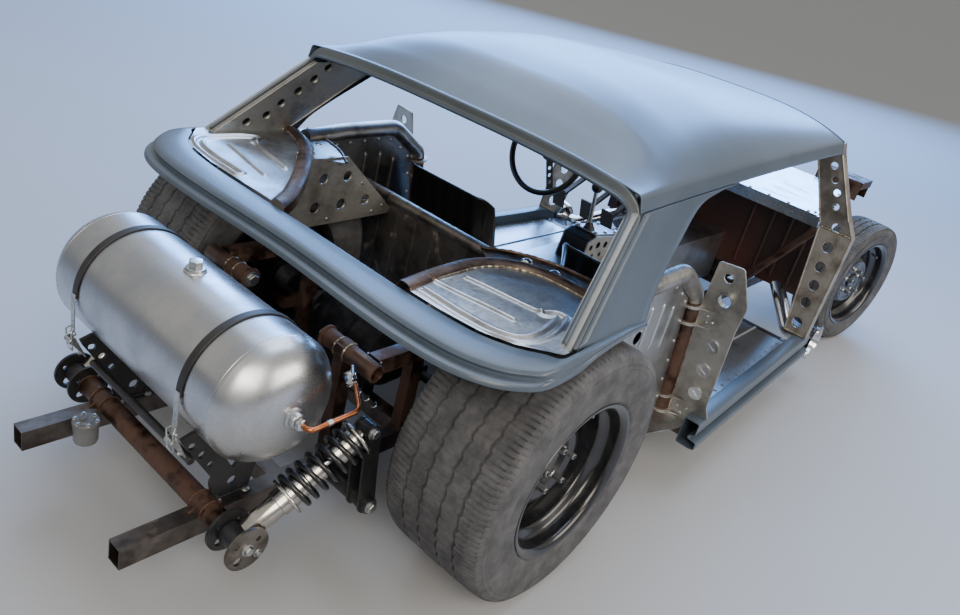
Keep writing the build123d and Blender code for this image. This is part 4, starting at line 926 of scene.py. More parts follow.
    def front_lip(self, form: Form) -> None:
        """Header over the windscreen: the skin folded down and back."""
        s = np.linspace(-1, 1, 90)
        edge = self.dome(1.0, s)
        lip = [(0, 0), (1.6, -0.6), (2.4, -2.4), (1.4, -16), (-3, -20), (-24, -20)]
        sheet = np.stack([edge + np.array([a, 0.0, b]) for a, b in lip], 1)
        form.grid(sheet, PRIMER)

    def build(self) -> None:
        """Roof and both pillars, as sheet three millimetres thick."""
        form = Form(PRIMER)
        self.pillar(form)
        form.mirrored()
        self.skin(form)
        self.rebate(form)
        self.front_lip(form)
        form.build("hard_top_skin", "chassis", ("roof_shell",), "primer", solid=2.6, smooth=32)


@dataclass
class TailBand:
    """Band round the tail: a broad flat top, a crisp nose, a dark groove and a rounded lip."""

    stations: tuple = (        # inner edge X and Y, outer lip X and Y, height of each
        (-275, 0, -375, 0, 700, 660), (-278, 300, -386, 308, 700, 660),
        (-274, 420, -384, 450, 700, 660), (-262, 517, -370, 545, 700, 660),
        (-232, 588, -338, 616, 700, 660), (-196, 632, -292, 662, 700, 660),
        (-172, 664, -236, 686, 700, 661), (-120, 665, -130, 686, 701, 664),
        (-40, 661, -44, 683, 703, 686), (80, 656, 80, 675, 704, 694),
        (171, 652, 171, 666, 696, 689))
    profile: tuple = (         # share of the way out, share of the way down
        (-0.03, 0.16), (-0.01, 0.02), (0.02, 0.0), (0.30, 0.02), (0.60, 0.07), (0.70, 0.12),
        (0.76, 0.20), (0.80, 0.31), (0.785, 0.42), (0.76, 0.50), (0.765, 0.60), (0.82, 0.66),
        (0.90, 0.68), (0.96, 0.74), (0.99, 0.84), (1.0, 1.0), (0.97, 1.06), (0.93, 1.06))

    def build(self) -> None:
        """One swept sheet across the car, with its thickness inwards."""
        half = np.array(self.stations, float)
        other = half[:0:-1] * np.array([1, -1, 1, -1, 1, 1])
        line = curve_through(np.vstack([other, half]).tolist(), 260)
        line[:, 4:] = np.minimum(line[:, 4:], (704.0, 694.0))
        u, w = np.array(self.profile)[:, 0][None], np.array(self.profile)[:, 1][None]
        x = line[:, :1] + (line[:, 2:3] - line[:, :1]) * u
        y = line[:, 1:2] + (line[:, 3:4] - line[:, 1:2]) * u
        z = line[:, 4:5] + (line[:, 5:6] - line[:, 4:5]) * w
        form = Form(PRIMER)
        form.grid(np.stack([x, y, z], -1), PRIMER)
        form.build("tail_band_skin", "chassis", ("deck_band",), "primer", solid=2.6, smooth=30)


# Tyres and rims

@dataclass
class Wheel:
    """One tyre with its tread, and its pressed rim with hub, studs and valve."""

    name: str                  # of the CAD nodes: end and side
    body: str
    centre: tuple
    out: tuple                 # axle direction, outwards
    tyre_r: float
    tyre_half: float
    rim_half: float
    hub: float
    grooves: tuple             # centre lines, as shares of the tread's half width
    stations: int = 720
    depth: float = 7.0
    groove_half: float = 4.2
    sipe_depth: float = 1.6
    sipe_every: int = 8        # stations from one sipe to the next
    slit_depth: float = 3.6
    slit_every: int = 5
    cut_lean: int = 5          # stations that both lean by, from the middle to the sidewall
    waves: tuple = ((2.3, 15), (1.1, 7))       # swing of the grooves, and stations to a wave
    rim_r: float = 207.5

    def tread(self) -> tuple[Array, Array, Array, Array]:
        """Columns across the tyre's outside, from one bead to the other.

        Returns:
            Y and radius of each column, how much it follows the grooves' waves, and the kind
            of rib that it lies on: 0 none, 1 an inner rib, 2 a shoulder.
        """
        r, half = self.tyre_r, self.tyre_half
        flat = half * 0.83
        side = [(self.rim_half - 3, self.rim_r + 1), (self.rim_half + 1, self.rim_r + 7),
                (self.rim_half + 2.5, self.rim_r + 10), (half - 6, (2 * self.rim_r + r) / 3 - 6),
                (half - 2, (self.rim_r + r) / 2 - 8), (half - 0.5, (self.rim_r + r) / 2 + 2),
                (half - 1.5, r - 44), (half - 2.8, r - 39), (half - 2.2, r - 36),
                (half - 4.0, r - 32), (half - 4.4, r - 27), (half - 3.8, r - 24.5),
                (half - 6.2, r - 21)]
        shoulder = [(half - 9.0, r - 14.5, 2), (half - 12.5, r - 9.0, 2), (flat + 5, r - 5.4, 2),
                    (flat, r - 4.1, 2)]
        columns = [(y, q, 0.0, 0) for y, q in side] + [(y, q, 0.0, k) for y, q, k in shoulder]
        before = flat
        for share in self.grooves[::-1]:
            middle = share * flat
            top = r - 4 * (middle / flat) ** 2
            wide = self.groove_half
            for f in (0.4, 0.75):
                columns.append((before + (middle + wide - before) * f,
                                top - 0.4 * abs(share) * (1 - f), f, 2 if before == flat else 1))
            low = top - self.depth
            columns += [(middle + wide, top, 1.0, 1), (middle + wide * 0.55, low, 1.0, 0),
                        (middle - wide * 0.55, low, 1.0, 0), (middle - wide, top, 1.0, 1)]
            before = middle - wide
        for f in (0.25, 0.6):
            columns.append((before + (-flat - before) * f,
                            r - 4 * (before / flat) ** 2 - 1.5 * f, 1 - f, 2))
        columns += [(-y, q, 0.0, k) for y, q, k in shoulder[::-1]]
        columns += [(-y, q, 0.0, 0) for y, q in side[::-1]]
        y, q, wave, kind = np.array(columns, float).T
        return y, q, wave, kind

    def tyre(self) -> None:
        """Wavy grooves, fine sipes across the ribs and dense curved slits in the shoulders."""
        y, q, wave, kind = self.tread()
        n = self.stations
        i = np.arange(n)[:, None]
        wander = sum(swing * np.sin(i * 2 * np.pi * round(n / step) / n)
                     for swing, step in self.waves)
        y = y[None] + wave[None] * wander * np.where(np.abs(y[None]) < 12, 0.8, 1.0)
        lean = np.round(np.abs(y) / self.tyre_half * self.cut_lean).astype(int)
        sipe = ((i + lean) % self.sipe_every == 0) & (kind[None] == 1)
        slit = ((i + lean) % self.slit_every == 0) & (kind[None] == 2)
        q = q[None] - np.where(sipe, self.sipe_depth, 0.0) - np.where(slit, self.slit_depth, 0.0)
        u, v, w = basis(self.out)
        a = (i * 2 * np.pi / n)[..., None]
        points = (np.asarray(self.centre) + (np.cos(a) * u + np.sin(a) * v) * q[..., None]
                  + w * y[..., None])
        form = Form(TYRE_RUBBER)
        form.grid(points, TYRE_RUBBER, wrap=True, flip=True)
        inner = [(self.rim_half - 3, self.rim_r + 1), (self.rim_half - 10, 191.5)]
        for sign in (1, -1):
            rows = [(r, sign * z) for z, r in inner]
            form.lathe(rows if sign < 0 else rows[::-1], self.centre, self.out, TYRE_RUBBER, 90)
        node = self.name.replace("_", "_tyre_")
        form.build(f"{node}_tread", self.body, (node,), "tyre_rubber", smooth=35)

    def rim(self) -> None:
        """Deep stepped barrel, dished disc, hub face, five open lug nuts and the valve."""
        h = self.rim_half
        form = Form(WHEEL_ENAMEL)
        barrel = [(191, h - 10), (203, h - 5.5), (206.5, h - 4), (207.5, h - 2), (206.5, h - 0.4),
                  (203.5, h), (199, h - 1.2), (193, h - 5), (188, h - 9), (185.5, h - 13),
                  (185, h - 20), (184, h - 38), (182, h - 43), (177, h - 47), (168, h - 53),
                  (163, h - 57), (161.5, h - 61), (161.5, 44 - h), (165, 40 - h), (176, 33 - h),
                  (183, 28 - h), (184.5, 20 - h), (186, 9 - h), (195, 4 - h), (203.5, 1 - h),
                  (207.2, 2 - h), (203, 5 - h), (191, 10 - h)]
        form.lathe(barrel[::-1], self.centre, self.out, WHEEL_ENAMEL, 128)
        d = self.hub
        disc = [(0, d + 9), (30, d + 9), (34.5, d + 7.5), (36.5, d + 4), (37, d + 0.6), (46, d),
                (72, d), (84, d + 1.5), (92, d + 5), (99, d + 6), (106, d + 3.5), (116, d - 5),
                (130, d - 14), (142, d - 20), (152, d - 21), (158, d - 25), (161.6, d - 31)]
        form.lathe(disc[::-1], self.centre, self.out, WHEEL_ENAMEL, 128)
        back = [(161.6, d - 37), (150, d - 30), (136, d - 26), (110, d - 6), (90, d - 4),
                (44, d - 6), (42, -6), (19, -6)]
        form.lathe(back[::-1], self.centre, self.out, WHEEL_ENAMEL, 96)
        u, v, w = basis(self.out)
        middle = np.asarray(self.centre, float)
        for k in range(5):
            a = 2 * math.pi * k / 5 + 0.35
            foot = middle + (math.cos(a) * u + math.sin(a) * v) * 56
            form.lathe([(9.2, d + 6), (12.5, d + 1), (12.5, d - 1)], foot, self.out, ZINC, 18)
            form.lathe([(5.6, d + 33), (7.4, d + 33), (8.6, d + 31), (9, d + 27), (9, d + 5)], foot,
                       self.out, ZINC, 12, hexagon=True)
            form.lathe([(0, d + 26), (5.4, d + 26), (5.6, d + 33)], foot, self.out, CAST_IRON, 14)
        a = 1.1
        ray = math.cos(a) * u + math.sin(a) * v
        spot = middle + ray * 157 + w * (d + 4)
        form.tube([spot, spot + w * 10 - ray * 4, spot + w * 26 - ray * 7], 4.2, HOSE_RUBBER, 10)
        form.rod(spot + w * 24 - ray * 6.6, spot + w * 34 - ray * 9, 3.2, ZINC, 10, 0.4)
        node = self.name.replace("_", "_wheel_")
        form.build(f"{node}_pressing", self.body, (node,), "wheel_black", smooth=32)

    def build(self) -> None:
        """The tyre and the rim."""
        self.tyre()
        self.rim()


# Fuel tank, what holds it, and the crossbar behind it

TANK = np.array([-567.0, 0.0, 510.5])
TANK_R, STRAP_Y, RAIL_TOP, RAIL_Y = 140.0, 205.0, 204.0, 212.5
BAR = np.array([-630.0, 0.0, 207.0])
COIL_LOW, COIL_HIGH = np.array([-630.0, -329.0, 207.0]), np.array([-345.0, -357.0, 395.0])


def side_by_side(centre: tuple, sign: int) -> Array:
    """A place given for the right side, moved to the side of the sign: 1 is left."""
    return np.asarray(centre, float) * np.array([1.0, -sign, 1.0])


@dataclass
class FuelTank:
    """Spun tank: a tube with two domes, their seams, a filler plug and an outlet."""

    seam_y: float = 292.0
    end_y: float = 370.0

    def build(self) -> None:
        """The shell is turned; the seams are a fine step with a ground weld."""
        form = Form(SPUN_ALUMINIUM)
        s, e = self.seam_y, self.end_y
        dome = [(0, e), (24, e - 0.6), (46, e - 2.8), (66, e - 6.6), (84, e - 13), (100, e - 22),
                (113, e - 32.5), (123, e - 43), (130.5, e - 53), (136, e - 63), (139, e - 71),
                (140, s + 5), (140, s + 1), (139.2, s + 0.4), (139.2, s - 0.6), (140, s - 1.2),
                (140.15, s - 8), (140, s - 16)]
        profile = dome + [(140, 0.0)] + [(r, -y) for r, y in dome[::-1]]
        form.lathe(profile[::-1], TANK, ACROSS, SPUN_ALUMINIUM, 160)
        for sign in (-1, 1):
            seam = side_ring(TANK + (0, sign * (s - 0.2), 0), TANK_R - 0.6, 140)
            form.weld(seam, 1.0, SPUN_ALUMINIUM, 6.0, ACROSS)
        top = TANK + np.array([0.0, -8.0, TANK_R])
        form.lathe([(24, -4), (23, 1.5), (20.5, 3), (20, 8), (18.5, 9), (0, 9)], top, UP, ZINC, 36)
        form.lathe([(15.6, 8), (15.6, 22), (14.6, 24), (9, 25), (0, 25)], top, UP, ZINC, 12,
                   hexagon=True)
        mouth = TANK + np.array([0.0, -e, 0.0])
        form.lathe([(25, -3), (24, 2), (21, 3.5), (17.5, 4), (17, 12), (15, 14), (0, 14)], mouth,
                   (0, -1, 0), SPUN_ALUMINIUM, 36)
        form.build("fuel_tank_shell", "chassis", ("fuel_tank",), "tank_metal", smooth=50)


@dataclass
class TankStraps:
    """Rubber straps with perforated zinc ends, wire bails and latch bases."""

    width: float = 18.0
    strap_top: float = 4.0
    end_z: float = 507.0

    def strap(self, form: Form, y: float) -> None:
        """One strap: an arc of rubber, then its zinc end and the latch on the rear side."""
        a = np.linspace(math.radians(-24), math.pi, 90)
        r = TANK_R + 0.3
        section = outline_round([(-self.width / 2, 0), (self.width / 2, 0),
                                 (self.width / 2, self.strap_top),
                                 (-self.width / 2, self.strap_top)], 1.4, 4)
        ray = np.c_[np.cos(a), np.zeros(90), np.sin(a)]
        ring = (TANK + ray[:, None] * (r + section[None, :, 1:])
                + np.array([0.0, 1.0, 0.0]) * (y + section[None, :, :1]))
        form.grid(ring, HOSE_RUBBER, close=True)
        x = TANK[0] - r - 2.2
        slots = [circle(0, k, 2.1, 12) for k in (-12, -26, -40, -54, -68)]
        zinc = outline_round([(-7.5, 14), (7.5, 14), (7.5, -84), (-7.5, -84)], 2.5)
        form.plate(zinc, slots, (x - 3.6, y, self.end_z), ACROSS, UP, 1.8, ZINC)
        hook_z = self.end_z - 84
        form.rod((x - 2, y - 9, hook_z), (x - 2, y + 9, hook_z), 3.6, ZINC, 14)
        bail = bent_line([(x - 4, y - 6, hook_z + 16), (x - 12, y - 12, hook_z + 8),
                          (x - 8, y - 12, hook_z - 38), (x - 8, y + 12, hook_z - 38),
                          (x - 12, y + 12, hook_z + 8), (x - 4, y + 6, hook_z + 16),
                          (x - 4, y - 6, hook_z + 16)], 5, 5)
        form.tube(bail, 1.9, ZINC, 8, (1, 0, 0.01))
        base = outline_round([(-10, 0), (10, 0), (10, -66), (-10, -66)], 3)
        down = unit((0.45, 0.0, -1.0))
        origin = np.array([x - 5.0, y, hook_z - 6.0])
        form.plate(base, [circle(0, -56, 2.6, 12)], origin, ACROSS, -down, 2.2, ZINC)
        for side in (-1, 1):
            ear = [(0, 0), (8, -3), (9, -22), (0, -58)]
            form.plate(outline_round(ear, 2), [], origin + np.array([0, side * 10.0 - 1, 0]),
                       (-1, 0, -0.45), -down, 2.0, ZINC)
        form.rod(origin + np.array([-5, -13, -10]), origin + np.array([-5, 13, -10]), 6.2, ZINC, 18)
        form.bolt(origin + down * 52 + np.array([-2, 0, -1]), (-1, 0, -0.45), 8, 4, ZINC)

    def build(self) -> None:
        """Both straps."""
        form = Form(HOSE_RUBBER)
        for y in (-STRAP_Y, STRAP_Y):
            self.strap(form, y)
        form.build("tank_strap_set", "chassis", ("tank_straps",), "strap_rubber")


@dataclass
class TankCradle:
    """Two black laser-cut saddles on the rails, with holes, feet, bolts and cross tubes."""

    def saddle(self, form: Form, y: float) -> None:
        """One saddle plate: a Y whose arms hold the tank."""
        reach = TANK[2] - RAIL_TOP
        a = np.radians(np.linspace(-19.1, -135.7, 40))
        arc = np.c_[143 * np.cos(a), reach + 143 * np.sin(a)]
        low = outline_round([(-56, 60), (-42, 0), (42, 0), (56, 60), (122, 178), (146, 262)], 9)
        outline = np.vstack([low, arc, outline_round([(-132, 200), (-122, 178)], 3)])
        oval = [outline_round([(x - 9, z - 6), (x + 9, z - 10), (x + 9, z + 8), (x - 9, z + 10)], 8)
                for x, z in ((-104, 172), (104, 180))]
        holes = oval + [circle(-80, 142, 9), circle(80, 146, 9), circle(0, 40, 12),
                        circle(-58, 108, 8), circle(58, 108, 8),
                        outline_round([(-34, 132), (0, 72), (34, 132)], 9)]
        form.plate_along(outline, holes, (TANK[0], y + 4, RAIL_TOP), 8, BRACKET_BLACK)
        foot = outline_round([(-48, -15), (48, -15), (48, 15), (-48, 15)], 5)
        form.plate(foot, [], (TANK[0], y, RAIL_TOP), ALONG, ACROSS, 5, BRACKET_BLACK)
        for dx in (-34, 34):
            form.bolt((TANK[0] + dx, y - 9, RAIL_TOP + 5), UP, 12, 6, ZINC)
        form.weld([(TANK[0] - 38, y - 5, RAIL_TOP + 6), (TANK[0] + 38, y - 5, RAIL_TOP + 6)], 2.2,
                  BRACKET_BLACK)
        lip = side_ring(TANK + (0, y, 0), 141.6, 40, *a[[0, -1]])
        form.tube(lip, 1.6, HOSE_RUBBER, 6, (0, 1, 0.01))

    def build(self) -> None:
        """Both saddles and the tubes between them."""
        form = Form(BRACKET_BLACK)
        for y in (-STRAP_Y, STRAP_Y):
            self.saddle(form, y)
        for dx in (-100, 100):
            form.rod((TANK[0] + dx, -STRAP_Y + 2, RAIL_TOP + 130),
                     (TANK[0] + dx, STRAP_Y - 2, RAIL_TOP + 130), 9, BRACKET_BLACK, 20)
        form.build("tank_saddles", "chassis", ("tank_cradle",), "black_paint")


@dataclass
class FuelLine:
    """Copper pipe from the outlet to a shut-off valve, with its nuts and bracket."""

    stay: tuple = (-312.0, -357.0, 428.0)      # far end of the rod that holds the valve

    def build(self) -> None:
        """Pipe, valve body with tee handle, nuts, and the wire-tied bracket."""
        form = Form(COPPER)
        mouth = TANK + np.array([0.0, -384.0, 0.0])
        form.lathe([(11, 2), (13.5, 3), (13.5, 12), (11, 13.5), (8, 14), (0, 14)], mouth,
                   (0, -1, 0), CHROME, 12, hexagon=True)
        line = bent_line([mouth, mouth + (0, -32, 0), mouth + (122, -32, 5),
                          mouth + (158, 26, 20)], 30, 9)
        form.tube(line, 5.6, COPPER, 14)
        form.rod(mouth + (42, -32, 2), mouth + (54, -32, 2.6), 6.3, ZINC, 16)
        valve = mouth + np.array([163.0, 46.0, 21.0])
        form.lathe([(7, -22), (10.5, -21), (10.5, -12), (8, -11)], valve, (-0.35, -0.85, 0.3),
                   CHROME, 12, hexagon=True)
        form.lathe([(0, -14), (11, -12), (13, -6), (13, 6), (11, 12), (0, 14)], valve,
                   (0.5, 0.8, 0.3), CHROME, 20)
        form.rod(valve, valve + (4, 4, 17), 6, CHROME, 14)
        form.rod(valve + (-8, -10, 18), valve + (14, 16, 17), 3.4, ZINC, 12)
        form.rod(valve + (0, 0, -14), self.stay, 5, BRACKET_BLACK, 12)
        for k in range(4):
            spot = valve * (1 - k / 4) + np.array(self.stay) * (k / 4)
            form.lathe([(6.4, -1.4), (7.4, 0), (6.4, 1.4)], spot + (0, 0, -14 * (1 - k / 4)),
                       (0.6, 0.0, -0.8), ZINC, 14)
        form.build("fuel_line", "chassis", ("fuel_pipe",), "copper_pipe")


@dataclass
class Canister:
    """Grey canister on the left rail: a bowl, and a cast lid with its bolts."""

    radius: float = 27.0

    def build(self) -> None:
        """Bowl, ribbed lid, hexagon bolts and the union on top."""
        form = Form(GREY_ENAMEL)
        x, y, z, r = -700.0, 161.0, 154.0, self.radius
        form.lathe([(0, 0), (r - 7, 0), (r - 2, 2.5), (r, 8), (r, 42), (r + 2, 43.5), (r + 2, 48),
                    (r + 0.5, 49), (r + 0.5, 50)], (x, y, z), UP, GREY_ENAMEL, 48)
        form.lathe([(r + 0.5, 50), (r + 3, 51), (r + 3, 57), (r + 1, 59), (r - 8, 59.5),
                    (r - 10, 62), (0, 62)], (x, y, z), UP, GREY_ENAMEL, 48)
        for k in range(6):
            a = k * math.pi / 3 + 0.3
            form.bolt((x + (r - 3.5) * math.cos(a), y + (r - 3.5) * math.sin(a), z + 58), UP, 7.5,
                      4, ZINC)
        form.lathe([(9, 61), (9, 64), (7.5, 65.5), (0, 65.5)], (x - 4, y + 4, z), UP, GREY_ENAMEL,
                   12, hexagon=True)
        form.plate(outline_round([(-16, 8), (16, 8), (16, 40), (-16, 40)], 3), [], (x, 190.0, z),
                   (-1, 0, 0), UP, 3.0, GREY_ENAMEL)
        form.plate(outline_round([(-9, 8), (9, 8), (9, 40), (-9, 40)], 2), [], (x, 182.0, z),
                   (-1, 0, 0), UP, 9.0, GREY_ENAMEL)
        form.build("canister", "chassis", ("filter_canister",), "canister_grey")


@dataclass
class Crossbar:
    """Rusty tube over the rail ends with two discs at each end, welds and gussets."""

    tube_r: float = 24.0
    disc_r: float = 50.0
    disc_thick: float = 7.0
    inner_y: float = 292.0
    outer_y: float = 359.0

    def disc(self, form: Form, y: float, sign: int, finish: Finish) -> None:
        """One disc, with a large offset hole, two small ones and a bolt head."""
        outline = circle(0, 0, self.disc_r, 64)
        holes = [circle(-20, -22, 10), circle(24, 18, 6, 16), circle(-26, 18, 5, 16)]
        near = sign * y + (0 if sign < 0 else self.disc_thick)
        form.plate_along(outline, holes, (BAR[0], near, BAR[2]), self.disc_thick, finish)

    def build(self) -> None:
        """Tube, discs, ring welds, saddle gussets and the pins' heads."""
        form = Form(RUSTY_TUBE)
        form.rod((BAR[0], -self.inner_y, BAR[2]), (BAR[0], self.inner_y, BAR[2]), self.tube_r,
                 RUSTY_TUBE, 48)
        for sign in (-1, 1):
            self.disc(form, self.inner_y, sign, BRACKET_BLACK)
            self.disc(form, self.outer_y, sign, AGED_SHEET if sign < 0 else BRACKET_BLACK)
            seam = side_ring(BAR + (0, sign * (self.inner_y - 1), 0), self.tube_r + 0.6, 60)
            form.weld(seam, 2.8, RUSTY_TUBE, 4.5, ACROSS)
            form.rod((BAR[0], sign * 286, BAR[2]), (BAR[0], sign * 374, BAR[2]), 9, ZINC, 20)
            form.bolt((BAR[0], sign * 366, BAR[2]), (0, sign, 0), 18, 8, ZINC)
            form.bolt((BAR[0] + 26, sign * 366, BAR[2] - 22), (0, sign, 0), 12, 5, ZINC)
            for end in (-1, 1):
                y = sign * (RAIL_Y + end * 20.5)
                seam = side_ring(BAR + (0, y, 0), self.tube_r + 1, 40, -0.3, np.pi + 0.3)
                form.weld(seam, 3.0, RUSTY_TUBE, 4.5, ACROSS)
            for fore in (-1, 1):
                web = outline_round([(20 * fore, 0), (40 * fore, 0), (19 * fore, 13)], 2)
                form.plate_along(web, [], (BAR[0], sign * RAIL_Y + 3, RAIL_TOP + 0.2), 6,
                                 RUSTY_TUBE)
        form.build("crossbar_weldment", "chassis", ("rear_crossbar",), "rusty_steel")


@dataclass
class Coilover:
    """Damper and helical spring between two eyes."""

    name: str
    node: str
    low: Array
    high: Array
    body_r: float = 25.0
    coil_r: float = 40.0
    wire_r: float = 6.0
    first: float = 0.40
    last: float = 0.90
    turns: float = 7.0

    def build(self) -> None:
        """Eyes, body, sleeves, seats, rod and the spring as a helix of round wire."""
        form = Form(NICKEL)
        low, high = self.low, self.high
        u, v, w = basis(high - low)
        length = float(np.linalg.norm(high - low))
        first, last, r = length * self.first, length * self.last, self.body_r
        span, seat = last - first, self.coil_r + 3
        body = [(0, 20), (r - 2, 21), (r, 23), (r, first - 36), (r + 4, first - 34),
                (r + 4, first - 15), (seat, first - 14), (seat + 1, first - 12),
                (seat + 1, first - 9), (seat, first - 8), (r + 5, first - 7),
                (r + 4, first + 0.22 * span), (r, first + 0.24 * span), (r, first + 0.45 * span),
                (r - 3, first + 0.46 * span), (0, first + 0.46 * span)]
        form.lathe(body, low, w, NICKEL, 56)
        form.rod(low + w * first, low + w * last, 6.5, CHROME, 20)
        top = [(0, first + 0.66 * span), (r + 2, first + 0.66 * span),
               (r + 3, first + 0.68 * span), (r + 3, last - 3), (seat + 1, last),
               (seat + 2, last + 2), (seat + 2, last + 6), (seat, last + 8), (16, last + 9),
               (14, length - 16), (0, length - 15)]
        form.lathe(top, low, w, NICKEL, 56)
        t = np.linspace(0, 1, int(self.turns * 40))
        squash = t - 0.028 * np.sin(2 * np.pi * t)
        a = 2 * np.pi * self.turns * t
        climb = first + self.wire_r - 4 + (span - 2 * self.wire_r + 6) * squash
        turning = np.cos(a)[:, None] * u + np.sin(a)[:, None] * v
        helix = low + w * climb[:, None] + turning * self.coil_r
        form.tube(helix, self.wire_r, SPRING_BLACK, 14, w)
        for spot, eye_r, half in ((low, 27.0, 27.0), (high, 18.0, 15.0)):
            form.lathe([(10, -half), (eye_r - 3, -half), (eye_r, -half + 2), (eye_r, half - 2),
                        (eye_r - 3, half), (10, half)], spot, ACROSS, BRACKET_BLACK, 40)
            form.lathe([(9.4, -half - 2), (14, -half - 2), (14, half + 2), (9.4, half + 2)], spot,
                       ACROSS, ZINC, 24, close=True)
        form.build(self.name, "chassis", (self.node,), "damper_metal", smooth=45)


# Sheet and channels of the body

TUB_EDGE = ((-272, -288), (-150, -272), (-40, -268), (38, -286), (96, -328), (130, -390),
            (144, -465), (142, -560), (134, -656))
TUB_EDGE_LEFT = ((-268, -110), (-197, -157), (-129, -218), (-42, -305), (55, -416), (95, -470),
                 (116, -514), (138, -580), (142, -656))
TUB_REAR = ((122, -700), (-160, -700), (-166, -656), (-190, -628), (-227, -584), (-257, -514),
            (-269, -419))
POST_FOOT, POST_HEAD = (720.0, 250.0), (637.0, 709.0)
SILL_X, SILL_RUN = 676.0, 0.046            # from here on, the sills close in by this share
PILLAR_FOOT, PILLAR_KINK, PILLAR_HEAD = (1680.0, 252.0), (1727.0, 668.0), (1690.0, 945.0)


def near_line(points: Array, line: Array) -> Array:
    """Distance from each point to the nearest part of a line of straight runs, in a plane."""
    a, b = line[:-1], line[1:]
    along = b - a
    rel = points[..., None, :] - a
    f = np.clip((rel * along).sum(-1) / (along ** 2).sum(-1), 0, 1)
    return np.linalg.norm(rel - f[..., None] * along, axis=-1).min(-1)


class Leaning:
    """A transverse plane that leans along X, with its points given as Y and Z."""

    def __init__(self, low: tuple, high: tuple) -> None:
        self.low = np.array([low[0], 0.0, low[1]])
        rise = np.array([high[0] - low[0], 0.0, high[1] - low[1]])
        self.up = unit(rise)
        self.stretch = float(np.linalg.norm(rise)) / (high[1] - low[1])
        self.normal = np.cross(ACROSS, self.up)

    def flat(self, pairs: Array) -> Array:
        """Pairs of Y and Z in the plane's own two coordinates."""
        pairs = np.asarray(pairs, float)
        return np.c_[pairs[:, 0], (pairs[:, 1] - self.low[2]) * self.stretch]

    def place(self, y: float, z: float, ahead: float = 0.0) -> Array:
        """A point of the plane in space, or one ahead of it."""
        return (self.low + self.up * (z - self.low[2]) * self.stretch + np.array([0.0, y, 0.0])
                + self.normal * ahead)

    def plate(self, form: Form, outline: Array, holes: list, thickness: float, finish: Finish,
              ahead: float = 0.0) -> None:
        """A plate in the plane, with round holes given as Y, Z and radius."""
        cut = [circle(*self.flat([(y, z)])[0], r, 28) for y, z, r in holes]
        form.plate(outline, cut, self.low + self.normal * ahead, ACROSS, self.up,
                   thickness, finish)

    def wall(self, form: Form, start: tuple, end: tuple, depth: float, finish: Finish,
             thickness: float = 3.0) -> None:
        """A folded edge: a strip from the plane forwards, between two points of Y and Z."""
        a, b = self.place(*start), self.place(*end)
        run = b - a
        length = np.linalg.norm(run)
        strip = [(0, 0), (length, 0), (length, depth), (0, depth)]
        form.plate(strip, [], a, unit(run), self.normal, thickness, finish)


